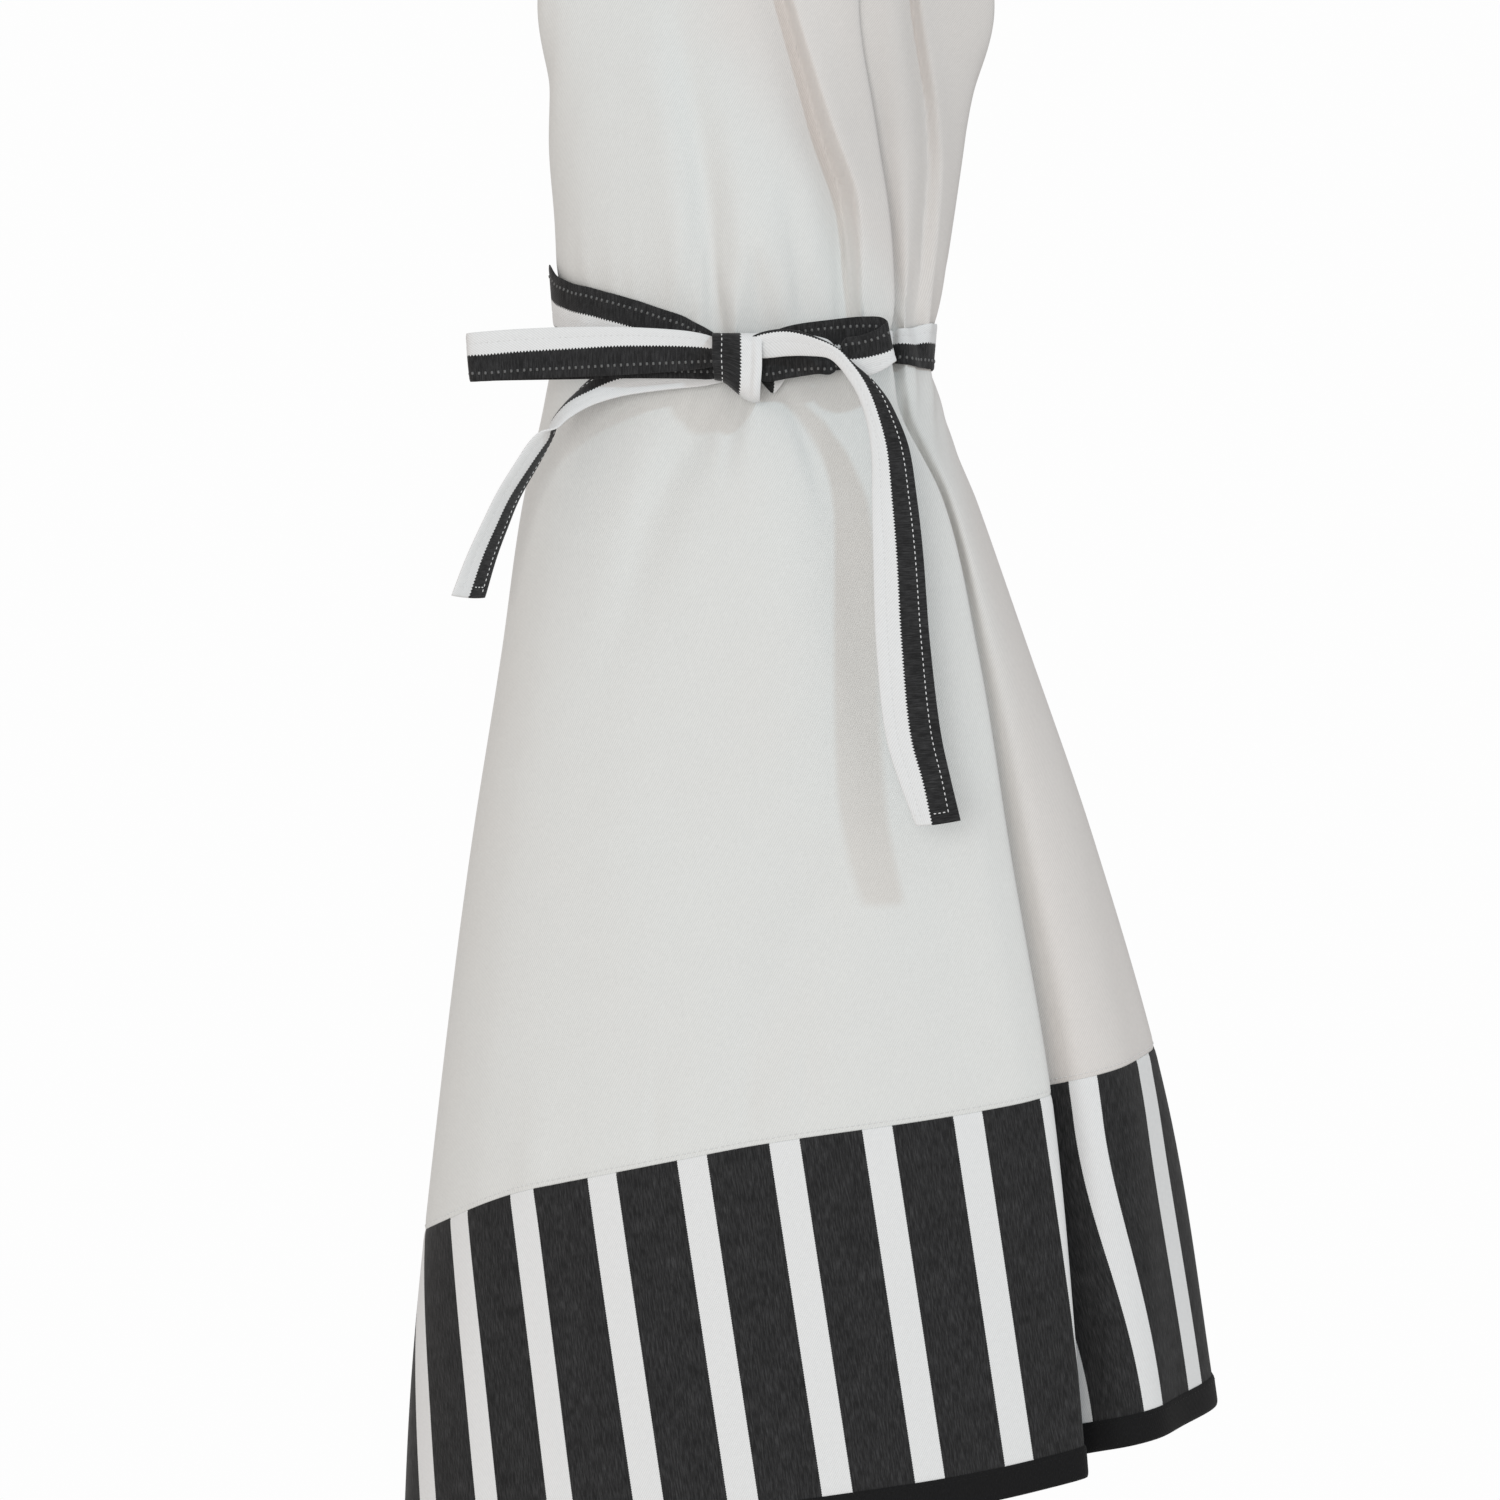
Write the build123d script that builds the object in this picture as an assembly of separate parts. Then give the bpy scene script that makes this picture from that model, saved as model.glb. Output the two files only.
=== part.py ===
"""A striped apron, tied round with its own tapes and hung by its neck strap from a wall hook.

Frame: the origin is the centre of the hook plate's back face, on the wall.  +Z is up, +Y points
into the wall and the object hangs on the -Y side.  Lengths are in millimetres.
"""
from build123d import *
from collections import namedtuple
from math import acos, atan2, degrees, radians, sin, cos
import os

# ---- wall hook -----------------------------------------------------------------------------
plate_width = 28.0
plate_height = 70.0
plate_thickness = 4.0
plate_round = 1.2
screw_spacing = 48.0
screw_shank_d = 4.0
screw_clearance = 0.2
screw_head_d = 8.2
screw_length = 35.0
screw_thread_d = 3.5
screw_neck = 0.5
screw_point = 6.0
screw_slot_width = 1.2
screw_slot_depth = 1.4
rod_d = 9.0
rod_straight = 52.0
rod_bend = 12.0
rod_tip = 3.0
collar_d = 17.0
collar_length = 6.0
knob_d = 17.0

# ---- tape: neck strap and waist ties ---------------------------------------------------------
tape_width = 25.0
tape_thickness = 1.6
strap_clearance = 0.3
strap_reach = 37.5
strap_split = 15.0
strap_inset = 14.0
strap_overlap = 14.0
strap_seat = 1.8

# ---- cloth -----------------------------------------------------------------------------------
cloth_thickness = 1.5
hang_x = 8.0
bib_top = 250.0
waist = 540.0

# Band of striped cloth along the hem.  Drops are measured on the line x = hang_x.
band_drop = waist + 409.0
hem_drop = waist + 606.0
hem_slope = 12.2
flap_band_drop = waist + 409.0
flap_hem_drop = waist + 613.0
flap_seam_slope = 14.8
flap_hem_slope = 19.0
binding_height = 14.0

# ---- bow ---------------------------------------------------------------------------------------
knot_width = 25.0
knot_depth = 21.0
knot_height = 33.0
knot_x = -18.5
knot_drop = waist + 17.5
knot_round = 5.0
knot_gap = 0.8
bow_clearance = 0.5
tie_stand_off = 5.5
tie_drop = waist + 9.0
tie_lean_left = 14.0
tie_lean_right = 0.0
loop_gap = 5.5
left_loop_length = 121.0
right_loop_length = 67.0
left_loop_drop = waist + 13.0
right_loop_drop = waist + 11.0
root_width = 12.0
tail_clearance = 1.0
tail_root_depth = 3.5

Bib = namedtuple("Bib", "drop left right front back curl")
Skirt = namedtuple("Skirt", "drop left fold right front back behind tuck")

BIB_LEVELS = [
    Bib(bib_top, -124, 125, -47, -33, 0.0),
    Bib(bib_top + 90, -120, 114, -60, -24, 0.45),
    Bib(waist - 90, -115, 97, -86, -17, 0.88),
    Bib(waist - 28, -110, 81, -102, -16, 1.0),
    Bib(waist, -110, 81, -102, -16, 1.0),
]
SKIRT_LEVELS = [
    Skirt(waist, -110, 55, 81, -102, -16, 5, 8),
    Skirt(waist + 28, -111, 57, 82, -102, -16, 5, 8),
    Skirt(waist + 90, -126, 84, 103, -116, -16, 8, 14),
    Skirt(waist + 260, -152, 116, 164, -138, -16, 14, 18),
    Skirt(waist + 420, -173, 140, 203, -156, -16, 19, 20),
    Skirt(waist + 670, -188, 160, 238, -170, -16, 24, 22),
]

# Shares of the width and depth of a cross-section, from its rear left edge round the front.
BIB_FLAT = [(0, 0), (0.08, 0.30), (0.2, 0.62), (0.35, 0.88), (0.5, 1),
            (0.65, 0.88), (0.8, 0.62), (0.92, 0.30), (1, 0)]
BIB_CURLED = [(0.27, 0), (0.08, 0.08), (0, 0.40), (0.14, 0.82), (0.42, 1),
              (0.74, 0.93), (0.98, 0.64), (0.97, 0.20), (0.72, 0)]
FRONT_SHARES = [(0.30, 0), (0.11, 0.06), (0, 0.40), (0.12, 0.82), (0.40, 0.99), (0.70, 1), (1, 0.78)]
FLAP_SHARES = [(0, 1), (0.5, 0.88), (1, 0.5), (0.62, 0.15), (-0.4, 0)]


def save(shape, name):
    export_step(shape, f"parts/{name}.step")


def shift(points):
    """Move a cross-section sideways so that the hanging weight lies under the hook."""
    return [(x + hang_x, y) for x, y in points]


# ---- cross-sections of the cloth ---------------------------------------------------------------
def bib_points(level):
    width, depth = level.right - level.left, level.back - level.front
    points = []
    for flat, curled in zip(BIB_FLAT, BIB_CURLED):
        across = flat[0] + (curled[0] - flat[0]) * level.curl
        forward = flat[1] + (curled[1] - flat[1]) * level.curl
        points.append((level.left + width * across, level.back - depth * forward))
    return shift(points)


def front_points(level):
    width, depth = level.fold - level.left, level.back - level.front
    return shift([(level.left + width * a, level.back - depth * f) for a, f in FRONT_SHARES])


def flap_points(level):
    start = level.fold - level.tuck
    first = level.front + (level.back - level.front) * 0.22 + level.behind
    width, depth = level.right - start, level.back - first
    return shift([(start + width * a, level.back - depth * f) for a, f in FLAP_SHARES])


def section_line(points, drop):
    return Spline(*[(x, y, -drop) for x, y in points])


def thick_line(points, drop, thickness):
    """Closed outline of a sheet's thickness along a smooth line through points."""
    middle = section_line(points, drop)
    outer, inner = [], []
    for x, y in points:
        here = Vector(x, y, -drop)
        normal = middle.tangent_at(here).cross(Vector(0, 0, 1)).normalized()
        outer.append(here + normal * (thickness / 2))
        inner.append(here - normal * (thickness / 2))
    outside, inside = Spline(*outer), Spline(*inner)
    ends = [Line(outside @ 1, inside @ 1), Line(inside @ 0, outside @ 0)]
    return make_face([outside, ends[0], inside, ends[1]])


def cloth_shell(levels, outline):
    sections = [thick_line(outline(level), level.drop, cloth_thickness) for level in levels]
    shell = loft(sections, ruled=True)
    return shell if shell.volume > 0 else loft(sections[::-1], ruled=True)


def slanted_plane(drop, slope):
    """Plane across the cloth that rises to the right by slope degrees."""
    lean = radians(slope)
    return Plane(origin=(hang_x, 0, -drop), x_dir=(cos(lean), 0, sin(lean)), z_dir=(-sin(lean), 0, cos(lean)))


def cut_at(shape, plane):
    upper = split(shape, bisect_by=plane, keep=Keep.TOP)
    lower = split(shape, bisect_by=plane, keep=Keep.BOTTOM)
    return upper, lower


# ---- tape --------------------------------------------------------------------------------------
def tape(path, across, widths):
    """Flat tape through the points of path, each with its own width direction and width."""
    sections = []
    for index, point in enumerate(path):
        before = Vector(*path[max(index - 1, 0)])
        after = Vector(*path[min(index + 1, len(path) - 1)])
        along = (after - before).normalized()
        side = Vector(*across[index])
        side = (side - along * side.dot(along)).normalized()
        plane = Plane(origin=point, x_dir=side, z_dir=along)
        sections.append(plane * Rectangle(widths[index], tape_thickness))
    return loft(sections, ruled=True)


# ---- hook --------------------------------------------------------------------------------------
def make_plate():
    plate = extrude(Plane.XZ * RectangleRounded(plate_width, plate_height, plate_width / 2 - 0.01),
                    plate_thickness)
    front = plate.faces().sort_by(Axis.Y)[0]
    plate = fillet(front.edges(), plate_round)
    hole_r = screw_shank_d / 2 + screw_clearance
    head_r = screw_head_d / 2 + screw_clearance
    for z in (-screw_spacing / 2, screw_spacing / 2):
        hole = extrude(Plane.XZ * Pos(0, z) * Circle(hole_r), plate_thickness)
        sink_depth = head_r - hole_r
        sink = Plane((0, -plate_thickness, z), z_dir=(0, 1, 0)) * Pos(0, 0, sink_depth / 2)
        plate -= hole + sink * Cone(head_r, hole_r, sink_depth)
    return plate


def make_screw(z):
    """Countersunk wood screw whose head lies just under the plate's front face."""
    head_r, shank_r = screw_head_d / 2, screw_shank_d / 2
    head_depth = head_r - shank_r
    face = -plate_thickness + 0.1
    thread_r = screw_thread_d / 2
    profile = make_face(Polyline((0, face), (head_r, face), (shank_r, face + head_depth),
                                 (shank_r, screw_neck), (thread_r, screw_neck),
                                 (thread_r, screw_length - screw_point), (0.4, screw_length),
                                 (0, screw_length), (0, face)))
    screw = revolve(profile, Axis.Y)
    for length, height in ((head_r * 1.2, screw_slot_width), (screw_slot_width, head_r * 1.2)):
        screw -= Pos(0, face + screw_slot_depth / 2, 0) * Box(length, screw_slot_depth, height)
    return Pos(0, 0, z) * screw


def rod_path():
    bend_y = -rod_straight - rod_bend * sin(radians(45))
    bend_z = rod_bend * (1 - cos(radians(45)))
    bend_start = (0, -rod_straight, 0)
    bend_end = (0, -rod_straight - rod_bend, rod_bend)
    tip = (0, -rod_straight - rod_bend, rod_bend + rod_tip)
    bend = ThreePointArc(bend_start, (0, bend_y, bend_z), bend_end)
    return Line((0, -plate_thickness, 0), bend_start) + bend + Line(bend_end, tip)


def make_arm():
    return sweep(Plane((0, -plate_thickness, 0), z_dir=(0, -1, 0)) * Circle(rod_d / 2), path=rod_path())


def make_collar():
    ring = Cylinder(collar_d / 2, collar_length) - Cylinder(rod_d / 2, collar_length)
    ring = Plane((0, -plate_thickness - collar_length / 2, 0), z_dir=(0, -1, 0)) * ring
    rim = ring.faces().sort_by(Axis.Y)[0].outer_wire().edges()
    return fillet(rim, 1.5)


def make_knob():
    seat = rod_bend + rod_tip
    rise = (knob_d**2 / 4 - (rod_d / 2 + 0.8)**2) ** 0.5
    ball = Pos(0, -rod_straight - rod_bend, seat + rise) * Sphere(knob_d / 2)
    below = Pos(0, -rod_straight - rod_bend, seat - knob_d / 2) * Box(knob_d * 2, knob_d * 2, knob_d)
    return ball - below


# ---- neck strap --------------------------------------------------------------------------------
def strap_foot(side):
    """Middle of the strap's lower end, at the bib's top corner."""
    edge = BIB_LEVELS[0].right if side > 0 else BIB_LEVELS[0].left
    return Vector(edge - side * strap_inset + hang_x, 0, -bib_top - strap_overlap)


def crown_radius():
    return rod_d / 2 + strap_clearance + tape_thickness / 2


def leg_turn(side):
    """Angle from straight up, about the rod, at which the strap leaves it."""
    foot = strap_foot(side)
    reach = (foot.X**2 + foot.Z**2) ** 0.5
    below = atan2(-foot.Z, abs(foot.X))
    return 90 + degrees(below - acos(crown_radius() / reach))


def make_crown():
    inner, outer = crown_radius() - tape_thickness / 2, crown_radius() + tape_thickness / 2
    start = 90 - leg_turn(1) + strap_split
    end = 90 + leg_turn(-1) - strap_split
    inside = CenterArc((0, 0), inner, start, end - start)
    outside = CenterArc((0, 0), outer, start, end - start)
    profile = make_face([inside, outside, Line(inside @ 0, outside @ 0), Line(inside @ 1, outside @ 1)])
    plane = Plane((0, -strap_reach + tape_width / 2, 0), x_dir=(1, 0, 0), z_dir=(0, -1, 0))
    return extrude(plane * profile, tape_width)


def make_leg(side):
    turn = radians(leg_turn(side))
    radius = crown_radius()
    top = Vector(side * radius * sin(turn), -strap_reach, radius * cos(turn))
    foot = strap_foot(side)
    corner_y = BIB_LEVELS[0].back + strap_seat
    steps = 8
    path, across = [], []
    for index in range(steps + 1):
        share = index / steps
        twist = radians(90 * min(1.0, share / 0.85))
        y = -strap_reach + (corner_y + strap_reach) * share**3
        path.append((top.X + (foot.X - top.X) * share, y, top.Z + (foot.Z - top.Z) * share))
        across.append((side * sin(twist), cos(twist) + 0.12 * sin(twist), 0))
    return tape(path, across, [tape_width] * (steps + 1))


# ---- waist ties and bow ------------------------------------------------------------------------
def make_tie(side):
    """Tie round one side of the waist, from behind the knot to its sewn end at the back."""
    outline = section_line(bib_points(BIB_LEVELS[-1]), waist)
    start, finish = (0.46, 0.05) if side < 0 else (0.48, 0.95)
    lean = radians(tie_lean_left if side < 0 else tie_lean_right)
    centre_x = (outline @ start).X
    points = []
    steps = 8
    for index in range(steps + 1):
        here = start + (finish - start) * index / steps
        outward = (outline % here).cross(Vector(0, 0, 1)).normalized()
        point = outline @ here + outward * tie_stand_off
        points.append((centre_x + (point.X - centre_x) / cos(lean), point.Y))
    level = thick_line(points, 0, tape_thickness)
    band = extrude(level, tape_width / 2, both=True)
    pivot = Axis((centre_x, 0, 0), (0, 1, 0))
    return Pos(0, 0, -tie_drop) * band.rotate(pivot, degrees(lean))


def knot_front():
    return knot_back() - knot_depth


def knot_back():
    front = BIB_LEVELS[-1].front
    return front - tie_stand_off - tape_thickness / 2 - knot_gap


def make_knot():
    block = Box(knot_width, knot_depth, knot_height)
    block = fillet(block.edges(), knot_round)
    return Pos(knot_x + hang_x, (knot_front() + knot_back()) / 2, -knot_drop) * block


def loop_layer_middle():
    return knot_back() - tape_thickness - loop_gap / 2 - 1.2


def make_loop(side):
    """Flattened loop of tape, round at its root so that it can turn beside the knot."""
    length = left_loop_length if side < 0 else right_loop_length
    drop = left_loop_drop if side < 0 else right_loop_drop
    root = side * (knot_width / 2 + bow_clearance)
    half = tape_width / 2
    middle_x = knot_x + hang_x + root + side * length / 2
    outer_depth = loop_gap + 2 * tape_thickness
    ring = SlotOverall(length, outer_depth) - SlotOverall(length - 2 * tape_thickness, loop_gap)
    body = extrude(ring, half, both=True)
    pivot = side * (half - length / 2)
    keep = Pos(pivot, 0) * Circle(half)
    keep += Pos(pivot + side * length / 2, 0) * Rectangle(length, tape_width)
    body = body & extrude(Plane.XZ * keep, outer_depth, both=True)
    return Pos(middle_x, loop_layer_middle(), -drop) * body


def make_right_tail():
    """Tail that leaves the knot to the right, arches over and hangs clear of the skirt."""
    x = knot_x + hang_x + knot_width / 2 + bow_clearance
    y = knot_front() + tail_root_depth
    z = -waist - 7
    path = [(x, y, z), (x + 14, y, z), (x + 32, y - 10, z - 3), (x + 46, y - 19, z - 20),
            (x + 57, y - 26, z - 50), (x + 65, y - 31, z - 93), (x + 72, y - 37, z - 163), (x + 85, y - 42, z - 240)]
    across = [(0, 0, 1), (0, 0, 1), (0.5, -0.6, 0.7), (0.8, -0.8, 0.4),
              (1, -0.9, 0.2), (1, -0.8, 0), (1, -0.5, 0), (1, -0.4, 0.1)]
    widths = [root_width, root_width, root_width + 8] + [tape_width] * 5
    return tape(path, across, widths)


def make_left_tail():
    """Tail that leaves under the left loop and falls away to the left."""
    x = knot_x + hang_x - knot_width / 2 - bow_clearance
    y = knot_back() - root_width / 2
    z = -left_loop_drop - tape_width / 2 - tail_clearance - root_width / 2
    path = [(x, y, z), (x - 22, y - 0.5, z - 0.5), (x - 45, y - 1.5, z - 2), (x - 68, y - 3, z - 8),
            (x - 88, y - 4, z - 21), (x - 104, y - 5, z - 44), (x - 116, y - 5, z - 72), (x - 127, y - 5, z - 99)]
    across = [(0, 0, 1), (0, -0.2, 1), (0, -0.4, 1), (0.3, -0.6, 1),
              (0.8, -0.8, 1), (1, -0.9, 0.6), (1, -0.9, 0.4), (1, -0.8, 0.4)]
    widths = [root_width] * 3 + [root_width + 5, tape_width - 3] + [tape_width] * 3
    return tape(path, across, widths)


# ---- build -------------------------------------------------------------------------------------
def main():
    os.makedirs("parts", exist_ok=True)

    save(make_plate(), "hook_plate")
    save(make_collar(), "hook_collar")
    save(make_arm(), "hook_arm")
    save(make_knob(), "hook_knob")
    screws = [make_screw(z) for z in (-screw_spacing / 2, screw_spacing / 2)]
    save(Compound(children=screws), "wall_screws")

    save(make_crown(), "neck_strap_crown")
    save(make_leg(-1), "neck_strap_left")
    save(make_leg(1), "neck_strap_right")

    save(cloth_shell(BIB_LEVELS, bib_points), "bib")
    front = cloth_shell(SKIRT_LEVELS, front_points)
    flap = cloth_shell(SKIRT_LEVELS, flap_points)
    for name, shell, seam, hem, seam_slope, foot_slope in (
            ("front", front, band_drop, hem_drop, hem_slope, hem_slope),
            ("flap", flap, flap_band_drop, flap_hem_drop, flap_seam_slope, flap_hem_slope)):
        cloth, below = cut_at(shell, slanted_plane(seam, seam_slope))
        band, below = cut_at(below, slanted_plane(hem - binding_height, foot_slope))
        binding = cut_at(below, slanted_plane(hem, foot_slope))[0]
        save(cloth, f"skirt_{name}")
        save(band, f"striped_band_{name}")
        save(binding, f"hem_binding_{name}")

    save(make_tie(-1), "waist_tie_left")
    save(make_tie(1), "waist_tie_right")
    save(make_knot(), "bow_knot")
    save(make_loop(-1), "bow_loop_left")
    save(make_loop(1), "bow_loop_right")
    save(make_left_tail(), "tie_tail_left")
    save(make_right_tail(), "tie_tail_right")


main()
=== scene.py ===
"""An off-white apron with a striped hem band, tied round with its own tapes and hung from a wall hook."""

from collections import namedtuple
from math import cos, pi, radians, sin

import bmesh
import bpy
import numpy as np
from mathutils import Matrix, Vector


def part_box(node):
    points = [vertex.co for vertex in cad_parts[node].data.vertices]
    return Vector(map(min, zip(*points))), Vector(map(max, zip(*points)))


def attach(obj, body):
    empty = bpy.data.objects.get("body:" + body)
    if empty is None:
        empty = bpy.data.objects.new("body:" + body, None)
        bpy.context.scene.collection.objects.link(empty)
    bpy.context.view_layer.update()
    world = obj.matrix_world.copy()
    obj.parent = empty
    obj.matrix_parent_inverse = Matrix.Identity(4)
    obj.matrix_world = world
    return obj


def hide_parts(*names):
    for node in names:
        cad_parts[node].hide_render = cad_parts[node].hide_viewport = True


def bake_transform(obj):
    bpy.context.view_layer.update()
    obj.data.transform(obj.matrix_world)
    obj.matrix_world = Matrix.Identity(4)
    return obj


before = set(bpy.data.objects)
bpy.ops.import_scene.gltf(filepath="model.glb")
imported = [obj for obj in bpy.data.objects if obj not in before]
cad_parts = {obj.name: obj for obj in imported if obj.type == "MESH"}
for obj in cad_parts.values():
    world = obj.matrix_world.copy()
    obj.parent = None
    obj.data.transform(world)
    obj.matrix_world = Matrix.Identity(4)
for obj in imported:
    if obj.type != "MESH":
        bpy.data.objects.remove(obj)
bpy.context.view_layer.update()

bl_info = {
    "name": "Apron on a hook",
    "version": (1, 0, 0),
    "blender": (4, 5, 0),
    "location": "3D View > Sidebar > Apron",
    "description": "Builds a tied apron with a striped hem band on its wall hook",
    "category": "Add Mesh",
}

# ---- places taken from the frame -----------------------------------------------------------------
KNOT_LOW, KNOT_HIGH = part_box("bow_knot")
KNOT = (KNOT_LOW + KNOT_HIGH) / 2
BIB_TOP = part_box("bib")[1].z
ROD_LOW, ROD_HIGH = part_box("hook_arm")
HANG_X = 0.008              # line down the middle of the front, from which the run round the cloth counts
MM = 0.001


# =================================================================================================
# Sizes and colours
# =================================================================================================
class ApronSizes(bpy.types.PropertyGroup):
    cloth_thickness: bpy.props.FloatProperty(
        name="Cloth thickness", description="Thickness of the twill", default=0.0007, unit="LENGTH")
    hem_width: bpy.props.FloatProperty(
        name="Hem width", description="Width of the turned side and top hems", default=0.011, unit="LENGTH")
    stripe_pitch: bpy.props.FloatProperty(
        name="Stripe pitch", description="One charcoal and one white stripe", default=0.0460, unit="LENGTH")
    white_share: bpy.props.FloatProperty(
        name="White share", description="Share of the pitch that is white", default=0.325, subtype="FACTOR")
    binding_height: bpy.props.FloatProperty(
        name="Binding height", description="Height of the black hem binding", default=0.014, unit="LENGTH")
    tape_width: bpy.props.FloatProperty(
        name="Tape width", description="Width of the ties and the neck strap", default=0.025, unit="LENGTH")
    tape_thickness: bpy.props.FloatProperty(
        name="Tape thickness", description="Thickness of the folded, stitched tape", default=0.0013,
        unit="LENGTH")
    stitch_length: bpy.props.FloatProperty(
        name="Stitch length", description="Spacing of the topstitching", default=0.0028, unit="LENGTH")
    heavy_stitch_length: bpy.props.FloatProperty(
        name="Heavy stitch length", description="Spacing of the thick grey stitches on the ties and loops",
        default=0.0032, unit="LENGTH")


class ApronColours(bpy.types.PropertyGroup):
    cloth: bpy.props.FloatVectorProperty(
        name="Cloth", description="Off-white twill", default=(0.760, 0.770, 0.755), subtype="COLOR")
    # Warmer, darker twill colour: painted warm shade on the flap and the bib's right side, and a random warm
    # mottle over the cloth.
    cloth_warm_mottle_and_shade: bpy.props.FloatVectorProperty(
        name="Cloth, warm", description="Off-white twill where it has yellowed",
        default=(0.740, 0.710, 0.685), subtype="COLOR")
    stripe_white: bpy.props.FloatVectorProperty(
        name="White stripe", description="White stripe of the band and tapes", default=(0.78, 0.785, 0.785),
        subtype="COLOR")
    stripe: bpy.props.FloatVectorProperty(
        name="Charcoal", description="Charcoal stripe", default=(0.0185, 0.0185, 0.0190), subtype="COLOR")
    binding: bpy.props.FloatVectorProperty(
        name="Binding", description="Black hem binding", default=(0.0035, 0.0035, 0.0038), subtype="COLOR")
    thread: bpy.props.FloatVectorProperty(
        name="Thread", description="Topstitching thread", default=(0.155, 0.155, 0.155), subtype="COLOR")
    steel: bpy.props.FloatVectorProperty(
        name="Steel", description="Brushed steel of the hook", default=(0.55, 0.56, 0.57), subtype="COLOR")


def sizes():
    """The sizes as set in the panel."""
    return bpy.context.scene.apron_sizes


def colours():
    """The colours as set in the panel."""
    return bpy.context.scene.apron_colours


# =================================================================================================
# Shape of the hanging cloth
# =================================================================================================
# Each level gives the height and, across it, the left turn, the front fold's edge, the right turn,
# the front and rear depth, how far the flap lies behind the fold, how deep it is tucked, and how far
# the sides have turned to the rear (0 is flat, 1 is fully round).
Level = namedtuple("Level", "z left fold right front back behind tuck curl")
LEVELS = [
    Level(-0.250, -0.125, 0.040, 0.140, -0.047, -0.033, 0.0005, 0.002, 0.00),
    Level(-0.310, -0.1360, 0.046, 0.1540, -0.055, -0.028, 0.0025, 0.003, 0.30),
    Level(-0.375, -0.1235, 0.050, 0.1350, -0.065, -0.022, 0.0045, 0.005, 0.62),
    Level(-0.440, -0.1092, 0.062, 0.1085, -0.083, -0.018, 0.0065, 0.006, 0.88),
    Level(-0.500, -0.1025, 0.0665, 0.0955, -0.098, -0.016, 0.0085, 0.007, 1.0),
    Level(-0.545, -0.1030, 0.068, 0.0890, -0.102, -0.016, 0.0095, 0.008, 1.0),
    Level(-0.575, -0.1080, 0.069, 0.0920, -0.107, -0.016, 0.0100, 0.010, 1.0),
    Level(-0.625, -0.1185, 0.091, 0.1100, -0.120, -0.016, 0.0120, 0.014, 1.0),
    Level(-0.700, -0.1290, 0.108, 0.1360, -0.131, -0.016, 0.0100, 0.017, 1.0),
    Level(-0.800, -0.1445, 0.124, 0.1700, -0.139, -0.016, 0.0115, 0.018, 1.0),
    Level(-0.925, -0.1600, 0.1445, 0.2050, -0.153, -0.016, 0.0140, 0.019, 1.0),
    Level(-1.060, -0.1735, 0.157, 0.2270, -0.163, -0.016, 0.0160, 0.020, 1.0),
    Level(-1.220, -0.1800, 0.169, 0.2470, -0.172, -0.016, 0.0185, 0.021, 1.0),
]
# Where the points of a cross-section lie across the cloth while it still hangs flat, at the bib's top.
FLAT_ACROSS = [0, 0.05, 0.12, 0.21, 0.32, 0.44, 0.56, 0.66, 0.67, 0.68, 0.69, 0.70, 0.76, 0.84, 0.92, 1.0]
FOLD_EDGE, TUCK_END = 8, 10  # which of those points are the fold's edge and the end of the tuck
SECTION_STEPS = 24          # samples between two points of a cross-section


def level_points(level):
    """Control points of the cloth's cross-section at one level, from its rear left edge round the front."""
    depth = level.back - level.front
    wide = level.fold - level.left
    fold_y = level.front + 0.20 * depth
    inner_x = level.fold - level.tuck
    inner_y = fold_y + level.behind
    flap = level.right - level.fold
    flap_depth = level.back - inner_y
    curled = [
        (level.left + 0.29 * wide, level.back),
        (level.left + 0.11 * wide, level.back - 0.05 * depth),
        (level.left, level.back - 0.42 * depth),
        (level.left + 0.07 * wide, level.front + 0.30 * depth),
        (level.left + 0.24 * wide, level.front + 0.10 * depth),
        (level.left + 0.46 * wide, level.front + 0.005 * depth),
        (level.left + 0.70 * wide, level.front + 0.01 * depth),
        (level.fold - 0.10 * wide, level.front + 0.11 * depth),
        (level.fold, fold_y),
        (level.fold - 0.25 * level.tuck, fold_y + 0.55 * level.behind),
        (inner_x, inner_y + 0.42 * level.behind),
        (level.fold + 0.035 * flap, inner_y + 0.46 * level.behind),
        (level.fold + 0.30 * flap, inner_y + 0.01 * flap_depth),
        (level.right, inner_y + 0.52 * flap_depth),
        (level.right - 0.38 * flap - 0.004, level.back - 0.14 * flap_depth),
        (level.right - 1.35 * flap - 0.012, level.back),
    ]
    span = level.right - level.left
    points = []
    for across, (x, y) in zip(FLAT_ACROSS, curled):
        flat = (level.left + span * across, level.back - depth * (1 - (2 * across - 1)**2))
        points.append((flat[0] + (x - flat[0]) * level.curl, flat[1] + (y - flat[1]) * level.curl))
    return np.array(points)


def smooth_step(low, high, value):
    """0 up to low and 1 from high on, with a smooth rise between them."""
    t = np.clip((value - low) / (high - low), 0, 1)
    return t * t * (3 - 2 * t)


def bell(distance, width):
    """1 at no distance, falling away smoothly over a width."""
    return np.exp(-(distance / width)**2)


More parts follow.
